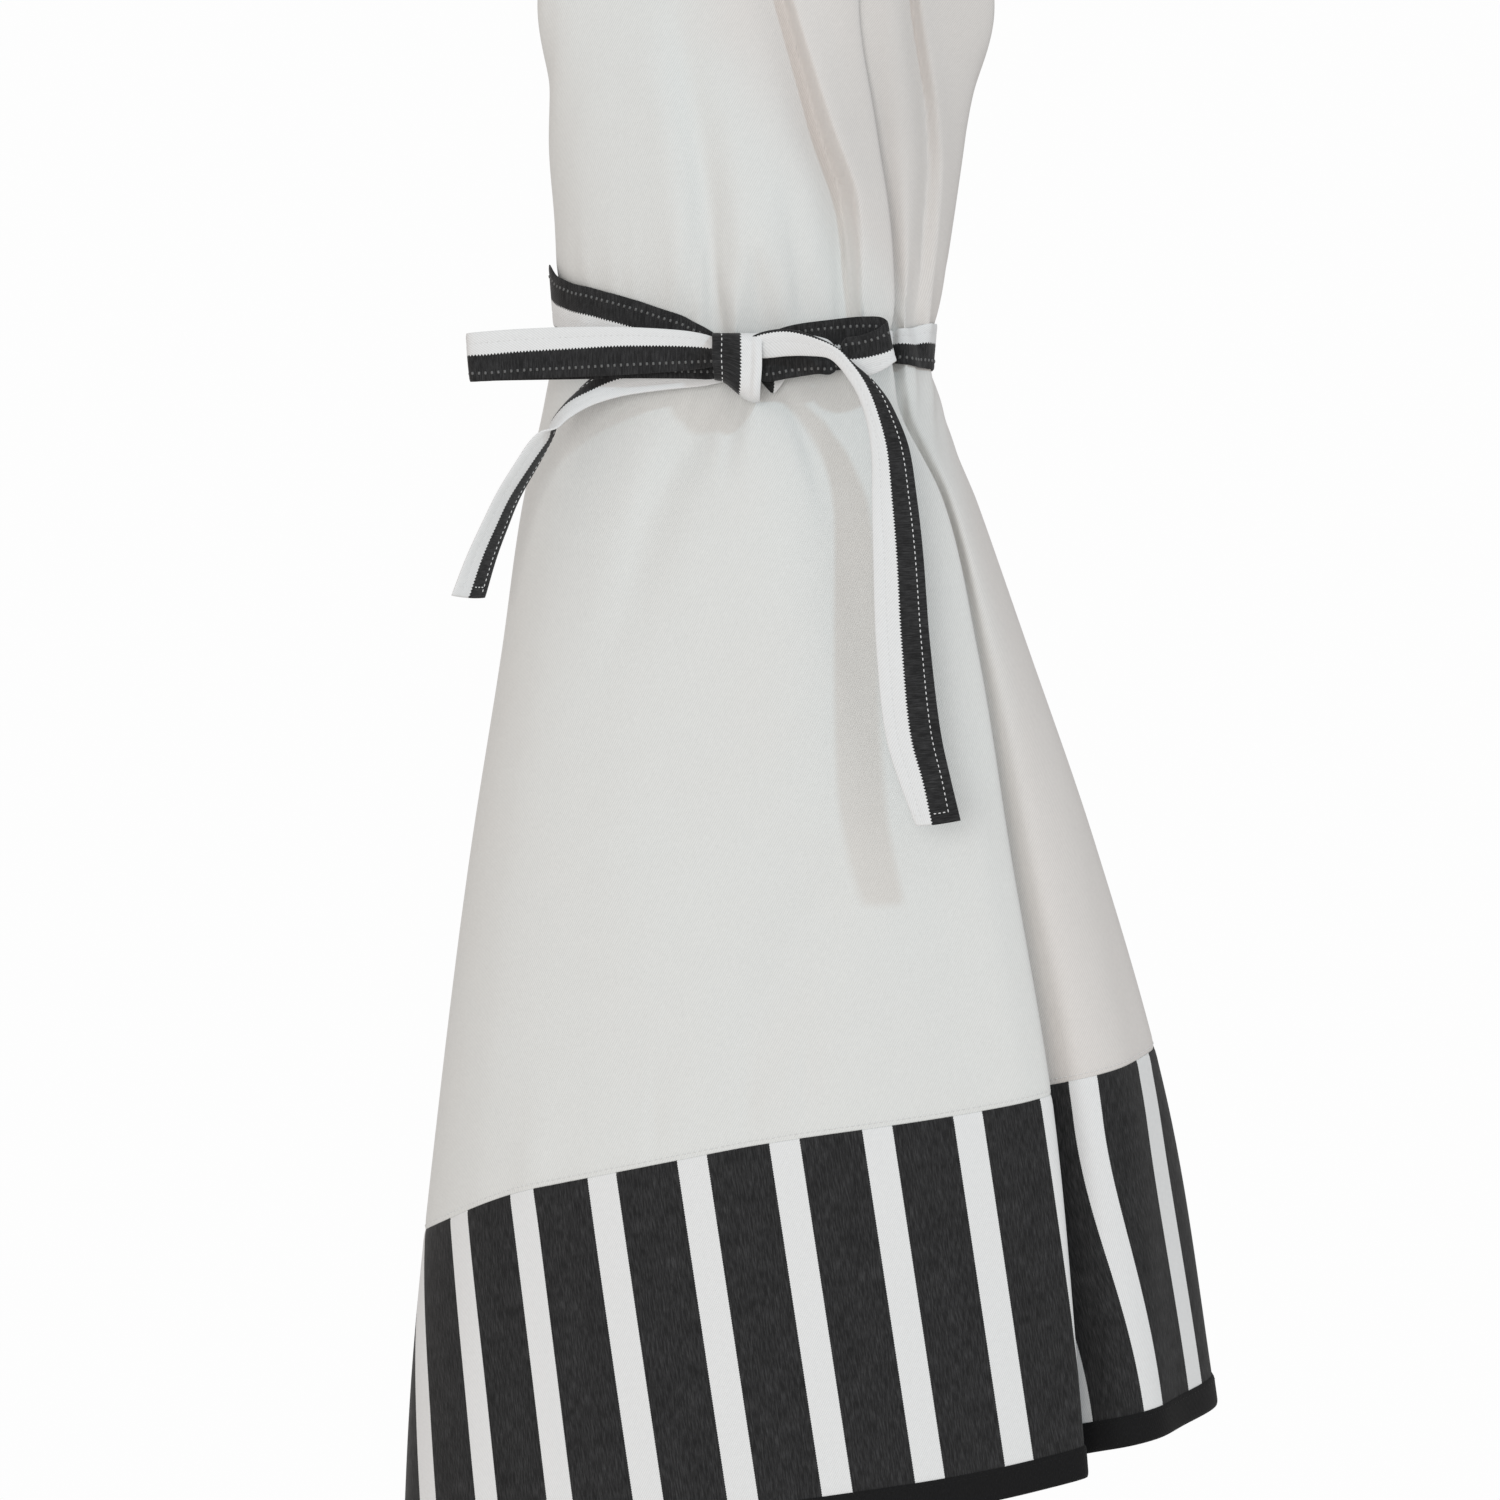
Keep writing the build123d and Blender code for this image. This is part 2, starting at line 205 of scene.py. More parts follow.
def catmull_rom(points, steps):
    """Centripetal spline through points, with steps samples to each span."""
    points = np.asarray(points, float)
    ends = np.vstack([2 * points[0] - points[1], points, 2 * points[-1] - points[-2]])
    gaps = np.sqrt(np.linalg.norm(np.diff(ends, axis=0), axis=1)) + 1e-9
    knots = np.concatenate([[0], np.cumsum(gaps)])
    line = []
    for i in range(1, len(ends) - 2):
        t = np.linspace(knots[i], knots[i + 1], steps, endpoint=False)[:, None]
        k0, k1, k2, k3 = knots[i - 1:i + 3]
        p0, p1, p2, p3 = ends[i - 1:i + 3]
        a1 = (k1 - t) / (k1 - k0) * p0 + (t - k0) / (k1 - k0) * p1
        a2 = (k2 - t) / (k2 - k1) * p1 + (t - k1) / (k2 - k1) * p2
        a3 = (k3 - t) / (k3 - k2) * p2 + (t - k2) / (k3 - k2) * p3
        b1 = (k2 - t) / (k2 - k0) * a1 + (t - k0) / (k2 - k0) * a2
        b2 = (k3 - t) / (k3 - k1) * a2 + (t - k1) / (k3 - k1) * a3
        line.append((k2 - t) / (k2 - k1) * b1 + (t - k1) / (k2 - k1) * b2)
    return np.vstack(line + [points[-1:]])


def spread(line, count):
    """The polyline resampled to count evenly spaced points."""
    steps = np.linalg.norm(np.diff(line, axis=0), axis=1)
    run = np.concatenate([[0], np.cumsum(steps)])
    at = np.linspace(0, run[-1], count)
    return np.stack([np.interp(at, run, line[:, axis]) for axis in range(line.shape[1])], axis=1)


def hermite_rows(heights, rows, wanted):
    """Rows of points interpolated smoothly over height, without overshoot between levels."""
    heights, rows = np.asarray(heights), np.asarray(rows)
    gaps = np.diff(heights)[:, None, None]
    slopes = np.diff(rows, axis=0) / gaps
    tangent = np.zeros_like(rows)
    tangent[1:-1] = (slopes[:-1] * gaps[1:] + slopes[1:] * gaps[:-1]) / (gaps[1:] + gaps[:-1])
    tangent[0], tangent[-1] = slopes[0], slopes[-1]
    index = np.clip(np.searchsorted(heights, wanted) - 1, 0, len(heights) - 2)
    span = heights[index + 1] - heights[index]
    t = ((wanted - heights[index]) / span)[:, None, None]
    span = span[:, None, None]
    h00, h10 = 2 * t**3 - 3 * t**2 + 1, t**3 - 2 * t**2 + t
    h01, h11 = -2 * t**3 + 3 * t**2, t**3 - t**2
    return (h00 * rows[index] + h10 * span * tangent[index]
            + h01 * rows[index + 1] + h11 * span * tangent[index + 1])


# Columns of points between the rear left edge and the fold, in the tuck, and out to the rear right edge.
FRONT_COLUMNS, TUCK_COLUMNS, FLAP_COLUMNS = 230, 18, 112
COLUMNS = FRONT_COLUMNS + TUCK_COLUMNS + FLAP_COLUMNS + 1
ROWS = 420


# A crease runs down the cloth: its path is (height, place across, how far it stands out, where a valley
# is negative), and its width to the left and to the right. A step is the edge of a pleat: the cloth
# stands out to its right and is drawn in to its left.
Fold = namedtuple("Fold", "zone kind path left right")
FOLDS = [
    # Bib: soft valley and ridge that run down to the knot, and a short one beside them.
    Fold("front", "crease", [(-0.375, -0.042, 0.0), (-0.412, -0.038, -0.0032), (-0.468, -0.0290, -0.0060),
                             (-0.52, -0.0240, -0.0062), (-0.552, -0.019, 0)], 0.009, 0.009),
    Fold("front", "crease", [(-0.400, -0.020, 0.0), (-0.450, -0.010, 0.0024), (-0.500, -0.0085, 0.0034),
                             (-0.54, -0.008, 0.0020), (-0.555, -0.008, 0)], 0.009, 0.020),
    Fold("front", "crease", [(-0.36, -0.055, 0.0), (-0.44, -0.038, 0.0034), (-0.50, -0.0345, 0.0040),
                             (-0.55, -0.022, 0)], 0.016, 0.009),
    Fold("front", "crease", [(-0.50, -0.002, 0.0), (-0.52, 0.0, -0.0040), (-0.545, 0.0015, -0.0040),
                             (-0.556, 0.002, 0)], 0.005, 0.006),
    Fold("front", "crease", [(-0.34, -0.094, 0.0), (-0.375, -0.099, 0.0012), (-0.42, -0.102, 0.0)],
         0.006, 0.010),
    # Bib, right: two pleats, with the wide strip between them.
    Fold("front", "step", [(-0.27, -0.016, 0.001), (-0.30, -0.006, 0.003), (-0.375, 0.0160, 0.0060),
                           (-0.440, 0.0350, 0.0084), (-0.472, 0.0470, 0.0088), (-0.505, 0.0485, 0.0074),
                           (-0.538, 0.0490, 0.0042), (-0.556, 0.0490, 0)], 0.016, 0.012),
    Fold("flap", "step", [(-0.30, 0.070, 0.001), (-0.345, 0.0765, 0.0030), (-0.384, 0.0815, 0.0036),
                          (-0.421, 0.0875, 0.0036), (-0.455, 0.0900, 0.0032), (-0.494, 0.0870, 0.0032),
                          (-0.535, 0.0835, 0.0024), (-0.552, 0.083, 0)], 0.009, 0.007),
    Fold("front", "crease", [(-0.445, 0.012, 0), (-0.500, 0.0185, -0.0036), (-0.527, 0.0215, -0.0042),
                             (-0.550, 0.022, 0)], 0.008, 0.010),
    # Gathers drawn into the knot from above and below.
    Fold("front", "crease", [(-0.505, -0.016, 0), (-0.530, -0.0125, 0.0034), (-0.545, -0.012, 0.0030),
                             (-0.556, -0.012, 0)], 0.004, 0.005),
    Fold("front", "crease", [(-0.566, 0.012, 0), (-0.580, 0.016, -0.0032), (-0.600, 0.024, -0.0026),
                             (-0.640, 0.034, 0)], 0.005, 0.007),
    Fold("front", "crease", [(-0.566, -0.006, 0), (-0.578, -0.009, -0.0030), (-0.596, -0.014, -0.0018),
                             (-0.620, -0.018, 0)], 0.004, 0.005),
    # Skirt: soft valleys and swells of the broad front.
    Fold("front", "crease", [(-0.565, -0.020, 0), (-0.58, -0.0270, -0.0040), (-0.600, -0.0380, -0.0062),
                             (-0.635, -0.0540, -0.0044), (-0.72, -0.075, 0.0)], 0.010, 0.016),
    Fold("front", "crease", [(-0.56, -0.004, 0), (-0.60, 0.004, 0.0036), (-0.70, 0.012, 0.0024),
                             (-0.80, 0.020, 0.0)], 0.024, 0.024),
    Fold("front", "crease", [(-0.79, 0.034, 0), (-0.83, 0.0285, -0.0050), (-0.89, -0.002, -0.0044),
                             (-0.945, -0.020, 0.0)], 0.020, 0.022),
    Fold("front", "crease", [(-0.565, 0.030, 0), (-0.60, 0.038, -0.0024), (-0.70, 0.052, -0.0030),
                             (-0.84, 0.070, 0)], 0.014, 0.018),
    Fold("front", "crease", [(-0.60, 0.070, 0), (-0.68, 0.088, 0.0022), (-0.80, 0.108, 0.0030),
                             (-0.92, 0.128, 0.0020), (-1.05, 0.142, 0)], 0.016, 0.010),
    Fold("flap", "crease", [(-0.66, 0.125, 0), (-0.78, 0.150, 0.0030), (-0.93, 0.180, 0.0050),
                            (-1.08, 0.192, 0.0060), (-1.22, 0.200, 0.0060)], 0.020, 0.014),
    # Small puckers where the skirt is sewn to the band.
    Fold("front", "crease", [(-0.905, -0.050, 0), (-0.935, -0.0520, -0.0016), (-0.955, -0.053, 0)],
         0.004, 0.006),
    Fold("front", "crease", [(-0.890, -0.004, 0), (-0.925, -0.0060, -0.0018), (-0.948, -0.007, 0)],
         0.005, 0.006),
    Fold("front", "crease", [(-0.880, 0.026, 0), (-0.912, 0.0225, -0.0018), (-0.938, 0.021, 0)],
         0.005, 0.007),
    Fold("front", "crease", [(-0.900, -0.105, 0), (-0.955, -0.1120, 0.0016), (-0.985, -0.115, 0)],
         0.008, 0.010),
]
STEP_EDGE = 0.0013          # half the width of a pleat's edge
STEP_RISE = 0.6             # how far the cloth stands out to the right of it, as a share of the fold's height
STEP_DROP = 1.7             # and how far it is drawn in to the left


def build_surface():
    """Grid of the cloth's middle surface, row by row from the bib's top down, and the rows' heights."""
    heights = np.array([level.z for level in LEVELS])
    counts = (FRONT_COLUMNS + 1, TUCK_COLUMNS + 1, FLAP_COLUMNS + 1)
    rows = []
    for level in LEVELS:
        line = catmull_rom(level_points(level), SECTION_STEPS)
        cuts = (0, FOLD_EDGE * SECTION_STEPS, TUCK_END * SECTION_STEPS, len(line) - 1)
        parts = [spread(line[a:b + 1], n) for a, b, n in zip(cuts[:-1], cuts[1:], counts)]
        rows.append(np.vstack([parts[0], parts[1][1:], parts[2][1:]]))
    wanted = np.linspace(heights[-1], heights[0], ROWS)
    grid = hermite_rows(heights[::-1], np.array(rows)[::-1], wanted)[::-1]
    return grid, wanted[::-1]


def outward(grid):
    """Unit normals of the rows, level and pointing away from the hollow."""
    along = np.gradient(grid, axis=1)[..., :2]
    along /= np.linalg.norm(along, axis=2, keepdims=True) + 1e-9
    return np.stack([along[..., 1], -along[..., 0]], axis=2)


def add_folds(grid, heights):
    """Pushes the folds and gathers out of the surface, along its own normal."""
    normal = outward(grid)
    x = grid[..., 0]
    columns = np.arange(grid.shape[1])[None, :]
    zones = {"front": columns <= FRONT_COLUMNS, "flap": columns > FRONT_COLUMNS + TUCK_COLUMNS}
    facing = smooth_step(0.0, 0.5, -normal[..., 1])
    rise = np.zeros_like(x)
    for fold in FOLDS:
        path = np.array(fold.path)[::-1]
        centre = np.interp(heights, path[:, 0], path[:, 1])[:, None]
        amount = np.interp(heights, path[:, 0], path[:, 2], left=0, right=0)[:, None]
        amount = smooth_rows(amount, 9)
        centre = smooth_rows(centre, 15)
        side = x - centre
        shape = np.where(side < 0, bell(side, fold.left), bell(side, fold.right))
        if fold.kind == "step":
            turned = smooth_step(-STEP_EDGE, STEP_EDGE, side)
            shape = shape * (-STEP_DROP + (STEP_RISE + STEP_DROP) * turned)
        rise += shape * amount * facing * zones[fold.zone]
    return grid + normal * rise[..., None]


def smooth_rows(values, reach):
    """values smoothed down their first axis over a number of rows."""
    kernel = np.hanning(reach + 2)[1:-1]
    kernel /= kernel.sum()
    padded = np.pad(values, [(reach // 2, reach // 2)] + [(0, 0)] * (values.ndim - 1), mode="edge")
    return np.apply_along_axis(lambda column: np.convolve(column, kernel, mode="valid"), 0, padded)


TIE_HEIGHT = -0.549         # height of the waist ties' middle at the bow
TIE_CLIMB = 0.021           # how much higher the left tie lies at the side
CINCH_DEPTH = 0.0035        # how far the ties draw the cloth in
GATHER_HEIGHT = 0.0030      # how far the gathers above and below them stand out
GATHER_SEED = 7
GATHER_FIRST, GATHER_LAST = -0.20, 0.28


def tie_height(x):
    """Height of the waist tie's middle at a place across the front."""
    lean = np.clip((KNOT.x - x) / 0.085, 0, 1)
    return TIE_HEIGHT + TIE_CLIMB * lean


def add_cinch(grid, heights):
    """Draws the cloth in under the tie and gathers it in small creases above and below."""
    x = grid[..., 0]
    above = heights[:, None] - tie_height(x)
    pull = -CINCH_DEPTH * bell(above, 0.016)
    run = np.cumsum(np.linalg.norm(np.gradient(grid, axis=1), axis=2) + 1e-9, axis=1)
    along = run - run[:, FRONT_COLUMNS // 2][:, None]
    creases = np.zeros_like(x)
    generator = np.random.default_rng(GATHER_SEED)
    place = GATHER_FIRST
    while place < GATHER_LAST:
        place += generator.uniform(0.010, 0.020)
        size = generator.uniform(0.4, 1.0)
        lean = generator.uniform(-0.15, 0.15)
        creases += size * bell(along - place - lean * above, generator.uniform(0.0035, 0.0065))
    gathered = np.maximum(bell(x - KNOT.x, 0.045), smooth_step(0.05, 0.075, x))
    amount = GATHER_HEIGHT * bell(above, 0.045) * np.maximum(0.22, gathered)
    return grid + outward(grid) * (pull + amount * (creases - 0.4))[..., None]


BAND_TOP = -0.9490          # height of the band's seam at the middle of the front, before its bow
BAND_DROP = 0.1745          # from the seam down to the binding's upper edge
GRAIN = radians(8.6)        # lean of the stripes
SEAM_SLOPE = 0.203          # rise of the band's seam along the cloth
SEAM_BOW = 0.0078           # how far the seam bows up between the left side and the fold
BOW_LEFT = (-0.20, -0.12)   # where the bow begins on the left, and where it is full
BOW_RIGHT = (0.13, -0.03)   # the same on the right
FLAP_RISE = -0.006          # change in the seam's height on the flap, beyond the hidden tuck
FLAP_SHORT = 0.02           # share of its height that the band loses on the flap
FLAP_SHIFT = -0.0210        # cloth taken up out of sight in the tuck
FLAP_SKEW = -0.0215         # and how much more of it at the hem, beside the tuck
SIDE_SHIFT = -0.0090        # cloth eased into the seam towards the left side
SIDE_SKEW = -0.0060         # and how much more of it at the hem


def run_across(grid):
    """Distance round each row from the line down the middle of the front, positive to the right."""
    step = np.linalg.norm(np.diff(grid, axis=1), axis=2)
    run = np.concatenate([np.zeros((grid.shape[0], 1)), np.cumsum(step, axis=1)], axis=1)
    x = grid[:, :FRONT_COLUMNS, 0]
    start = np.argmax(x > HANG_X, axis=1)
    start = np.maximum(start, 1)
    rows = np.arange(grid.shape[0])
    x1, x0 = grid[rows, start, 0], grid[rows, start - 1, 0]
    share = np.clip((HANG_X - x0) / (x1 - x0 + 1e-9), 0, 1)
    zero = run[rows, start - 1] + share * (run[rows, start] - run[rows, start - 1])
    return run - zero[:, None]


def make_cloth():
    """The draped cloth's grid, its rows' heights and the run round each row."""
    grid, heights = build_surface()
    grid = add_folds(grid, heights)
    grid = add_cinch(grid, heights)
    return grid, heights, run_across(grid)


CLOTH, HEIGHTS, RUN = make_cloth()
OUTWARD = outward(CLOTH)


def column_at(values, column, height):
    """values down one column, read at height."""
    return np.interp(height, HEIGHTS[::-1], values[::-1, column])


def in_flap(column):
    """0 on the front, 1 on the flap, and in between inside the tuck."""
    return np.clip((column - FRONT_COLUMNS) / TUCK_COLUMNS, 0, 1)


def seam_height(column, drop):
    """Height at which a line across the cloth, drop below the band's top, meets a column."""
    height = BAND_TOP - drop
    for _ in range(4):
        across = column_at(RUN, column, height)
        fall = drop / cos(GRAIN) * (1 - FLAP_SHORT * in_flap(column))
        bow = SEAM_BOW * smooth_step(*BOW_LEFT, across) * smooth_step(*BOW_RIGHT, across)
        height = BAND_TOP - fall + across * SEAM_SLOPE + bow + in_flap(column) * FLAP_RISE
    return height


def taken_up(column, z):
    """Cloth lost along the grain between the front and a column, more of it towards the hem."""
    out = np.clip((column - FRONT_COLUMNS - TUCK_COLUMNS) / FLAP_COLUMNS, 0, 1)
    lower = smooth_step(BAND_TOP + 0.015, BAND_TOP - 0.135, z)
    beside = 1 - 0.75 * smooth_step(0.10, 0.50, out)
    flap = in_flap(column) * (FLAP_SHIFT + FLAP_SKEW * lower * beside)
    side = smooth_step(-0.085, -0.205, column_at(RUN, column, z))
    return flap + (SIDE_SHIFT + SIDE_SKEW * lower) * side


def cloth_at(column, z):
    """Points and outward normals of one column of the cloth at heights z."""
    place, out = [], []
    for axis in range(2):
        place.append(column_at(CLOTH[..., axis], column, z))
        out.append(column_at(OUTWARD[..., axis], column, z))
    flat = np.zeros_like(z)
    return np.stack([*place, z], axis=1), np.stack([*out, flat], axis=1)


SEAM_DIP = 0.0006           # how far the cloth is drawn in along a seam
SEAM_REACH = 0.0016
BESIDE_SEAM = np.array([0.35, 1.0])  # the rows of points next to a seam, as shares of its reach


def patch(top_of, bottom_of, rows, sewn_top=False, sewn_bottom=False):
    """Points between two heights of every column, their normals and their place along the grain."""
    points = np.zeros((rows + 1, COLUMNS, 3))
    normals = np.zeros((rows + 1, COLUMNS, 3))
    grain = np.zeros((rows + 1, COLUMNS, 2))
    for column in range(COLUMNS):
        top, bottom = top_of(column), bottom_of(column)
        z = np.linspace(top, bottom, rows + 1)
        if sewn_top:
            z[1:3] = top - BESIDE_SEAM * SEAM_REACH
        if sewn_bottom:
            z[-3:-1] = bottom + BESIDE_SEAM[::-1] * SEAM_REACH
        points[:, column], normals[:, column] = cloth_at(column, z)
        dip = sewn_top * bell(z - top, SEAM_REACH) + sewn_bottom * bell(z - bottom, SEAM_REACH)
        points[:, column] -= normals[:, column] * (SEAM_DIP * dip)[:, None]
        run = column_at(RUN, column, z) + taken_up(column, z)
        grain[:, column, 0] = run * cos(GRAIN) - (BAND_TOP - z) * sin(GRAIN)
        grain[:, column, 1] = (BAND_TOP - z) * cos(GRAIN) + run * sin(GRAIN)
    return points, normals, grain


# =================================================================================================
# Meshes
# =================================================================================================
def new_piece(name, verts, faces, uv=None):
    """A shaded-smooth mesh object; uv gives each vertex its place along the grain."""
    mesh = bpy.data.meshes.new(name)
    mesh.from_pydata(np.asarray(verts).tolist(), [], [list(face) for face in faces])
    if uv is not None:
        layer = mesh.uv_layers.new(name="grain")
        corner = np.zeros(len(mesh.loops), dtype=np.int32)
        mesh.loops.foreach_get("vertex_index", corner)
        layer.data.foreach_set("uv", np.asarray(uv)[corner].ravel())
    mesh.polygons.foreach_set("use_smooth", [True] * len(mesh.polygons))
    mesh.update()
    piece = bpy.data.objects.new(name, mesh)
    bpy.context.scene.collection.objects.link(piece)
    return piece


def surface_normals(points):
    """Unit normals of a grid of points, one for each point."""
    along = np.gradient(points, axis=1)
    down = np.gradient(points, axis=0)
    normal = np.cross(down, along)
    return normal / (np.linalg.norm(normal, axis=2, keepdims=True) + 1e-12)


def sheet_mesh(name, points, grain, thickness):
    """A closed sheet from a grid of points; thickness is one value or one for each point."""
    rows, columns = points.shape[:2]
    half_thick = surface_normals(points) * np.broadcast_to(thickness, (rows, columns))[..., None] / 2
    verts = np.concatenate([(points + half_thick).reshape(-1, 3), (points - half_thick).reshape(-1, 3)])
    index = np.arange(rows * columns).reshape(rows, columns)
    a, b = index[:-1, :-1].ravel(), index[:-1, 1:].ravel()
    c, d = index[1:, 1:].ravel(), index[1:, :-1].ravel()
    half = rows * columns
    faces = [np.stack([a, d, c, b], axis=1), np.stack([a, b, c, d], axis=1) + half]
    rim = np.concatenate([index[0, :], index[1:, -1], index[-1, -2::-1], index[-2:0:-1, 0]])
    after = np.roll(rim, -1)
    faces.append(np.stack([rim, after, after + half, rim + half], axis=1))
    uv = np.concatenate([grain.reshape(-1, 2)] * 2)
    return new_piece(name, verts, np.concatenate(faces).tolist(), uv)


# Places across a tape, closer together near its edges, as shares of its width.
ACROSS = np.array([
    0, 0.015, 0.04, 0.08, 0.12, 0.15, 0.18, 0.21, 0.25, 0.31, 0.37, 0.43, 0.46, 0.49, 0.55, 0.61,
    0.67, 0.72, 0.76, 0.79, 0.82, 0.85, 0.89, 0.93, 0.96, 0.985, 1.0])
BOUNDARY = 0.45             # where the tape turns from white to charcoal
WHITE_STITCH, DARK_STITCH = 0.20, 0.81  # where the stitches run, as shares of the tape's width
STATION_STEPS = 16          # samples between two stations of a tape


def tape_surface(stations, step=0.0011):
    """Grid of a tape's middle surface through stations of (white edge, boundary, dark edge)."""
    line = catmull_rom(np.array(stations, float) * MM, STATION_STEPS)
    middle = line[:, 3:6]
    length = np.linalg.norm(np.diff(middle, axis=0), axis=1).sum()
    line = spread(line, max(8, int(length / step)))
    white, middle, dark = line[:, 0:3], line[:, 3:6], line[:, 6:9]
    u = ACROSS[None, :, None]
    near = (u - BOUNDARY) * (u - 1) / BOUNDARY
    mid = u * (u - 1) / (BOUNDARY * (BOUNDARY - 1))
    far = u * (u - BOUNDARY) / (1 - BOUNDARY)
    return near * white[:, None] + mid * middle[:, None] + far * dark[:, None]


def tape_grain(points):
    """Place across and along the tape, in metres."""
    centre = points[:, len(ACROSS) // 2]
    run = np.concatenate([[0], np.cumsum(np.linalg.norm(np.diff(centre, axis=0), axis=1))])
    grain = np.zeros((*points.shape[:2], 2))
    grain[..., 0] = ACROSS[None, :] * sizes().tape_width
    grain[..., 1] = run[:, None]
    return grain


def tape_profile(rows):
    """Thickness over the tape: rounded at its edges and ends, and drawn in along the stitching."""
    edge = np.minimum(ACROSS, 1 - ACROSS)
    profile = 0.42 + 0.58 * np.sqrt(np.clip(edge / 0.07, 0, 1))
    profile *= 1 - 0.30 * bell(ACROSS - DARK_STITCH, 0.022) - 0.30 * bell(ACROSS - WHITE_STITCH, 0.022)
    ends = np.minimum(np.arange(rows), np.arange(rows)[::-1])
    return sizes().tape_thickness * profile[None, :] * (0.6 + 0.4 * np.clip(ends / 2, 0, 1))[:, None]


def make_tape(name, surfaces):
    """One mesh of one or more tapes, each a grid of points."""
    pieces = []
    for points in surfaces:
        pieces.append(sheet_mesh(name, points, tape_grain(points), tape_profile(len(points))))
    return join(pieces, name)


def join(pieces, name):
    """All pieces in one mesh of that name."""
    verts, faces, uv, base = [], [], [], 0
    for piece in pieces:
        mesh = piece.data
        verts += [tuple(vertex.co) for vertex in mesh.vertices]
        faces += [[corner + base for corner in polygon.vertices] for polygon in mesh.polygons]
        place = {}
        for loop, at in zip(mesh.loops, mesh.uv_layers["grain"].data):
            place[loop.vertex_index] = tuple(at.uv)
        uv += [place[index] for index in range(len(mesh.vertices))]
        base += len(mesh.vertices)
        bpy.data.objects.remove(piece)
        bpy.data.meshes.remove(mesh)
    return new_piece(name, verts, faces, uv)


# =================================================================================================
# Stitching
# =================================================================================================
STITCH_SIDES = 6
STITCH_SWELL = np.array([0.45, 0.9, 1.0, 0.9, 0.45])
STITCH_RISE = np.array([-0.9, 0.15, 0.4, 0.15, -0.9])
# Kinds of stitch on the tapes: radius, share of the pitch that the thread fills, height against width.
Stitch = namedtuple("Stitch", "radius filled height")
HEAVY_STITCH = Stitch(0.00088, 0.56, 0.35)
PLAIN_STITCH = Stitch(0.00030, 0.72, 0.8)
EDGE_STITCH = Stitch(0.00022, 0.72, 0.8)
TAPE_MARGIN = 0.002         # from a tape's end to its first stitch


def stitch_line(points, normals, radius, lift, pitch, share=0.74, start=0.0, stop=None, height=0.8):
    """Verts and faces of a row of separate stitches that follow a line on the cloth."""
    run = np.concatenate([[0], np.cumsum(np.linalg.norm(np.diff(points, axis=0), axis=1))])
    stop = run[-1] if stop is None else stop
    count = max(1, int((stop - start) / pitch))
    turn = np.arange(STITCH_SIDES) * 2 * pi / STITCH_SIDES
    verts, faces = [], []
    for number in range(count):
        first = start + number * pitch
        at = np.linspace(first, first + pitch * share, len(STITCH_SWELL))
        centre = np.stack([np.interp(at, run, points[:, axis]) for axis in range(3)], axis=1)
        normal = np.stack([np.interp(at, run, normals[:, axis]) for axis in range(3)], axis=1)
        normal /= np.linalg.norm(normal, axis=1, keepdims=True) + 1e-12
        along = np.gradient(centre, axis=0)
        side = np.cross(along, normal)
        side /= np.linalg.norm(side, axis=1, keepdims=True) + 1e-12
        centre = centre + normal * (lift + STITCH_RISE * radius)[:, None]
        base = len(verts) * STITCH_SIDES
        for place, up, out, size in zip(centre, normal, side, STITCH_SWELL):
            ring = np.cos(turn)[:, None] * up * height + np.sin(turn)[:, None] * out
            verts.append(place + radius * size * ring)
        for step in range(len(STITCH_SWELL) - 1):
            for k in range(STITCH_SIDES):
                a = base + step * STITCH_SIDES + k
                b = base + step * STITCH_SIDES + (k + 1) % STITCH_SIDES
                faces.append((a, b, b + STITCH_SIDES, a + STITCH_SIDES))
        faces.append(tuple(base + k for k in range(STITCH_SIDES))[::-1])
        last = base + (len(STITCH_SWELL) - 1) * STITCH_SIDES
        faces.append(tuple(last + k for k in range(STITCH_SIDES)))
    return np.concatenate(verts), faces


def merge(rows):
    """One list of verts and faces from several."""
    verts, faces, base = [], [], 0
    for points, polygons in rows:
        verts.append(points)
        faces += [tuple(corner + base for corner in polygon) for polygon in polygons]
        base += len(points)
    return np.concatenate(verts), faces


def across_tape(points, share):
    """The line along a tape at a share of its width, and the tape's normals there."""
    normals = surface_normals(points)
    index = int(np.clip(np.searchsorted(ACROSS, share) - 1, 0, len(ACROSS) - 2))
    t = (share - ACROSS[index]) / (ACROSS[index + 1] - ACROSS[index])
    return (points[:, index] * (1 - t) + points[:, index + 1] * t,
            normals[:, index] * (1 - t) + normals[:, index + 1] * t)


def tape_stitches(points, share, pitch, stitch):
    """Rows of one kind of stitch along both faces of a tape, at a share of its width."""
    line, normals = across_tape(points, share)
    last = np.linalg.norm(np.diff(line, axis=0), axis=1).sum() - TAPE_MARGIN
    lift = sizes().tape_thickness * 0.36
    return [stitch_line(line, normals * face, stitch.radius, lift, pitch, stitch.filled, TAPE_MARGIN, last,
                        stitch.height)
            for face in (1, -1)]


def end_stitches(points, back, low, high, radius):
    """A short row of stitches across a tape, back from its end."""
    row = points[-back]
    normals = surface_normals(points)[-back]
    at = np.linspace(low, high, 12)
    line = np.stack([np.interp(at, ACROSS, row[:, axis]) for axis in range(3)], axis=1)
    out = np.stack([np.interp(at, ACROSS, normals[:, axis]) for axis in range(3)], axis=1)
    lift = sizes().tape_thickness * 0.42
    pitch = sizes().stitch_length * 0.8
    return [stitch_line(line, out * face, radius, lift, pitch, 0.8) for face in (1, -1)]


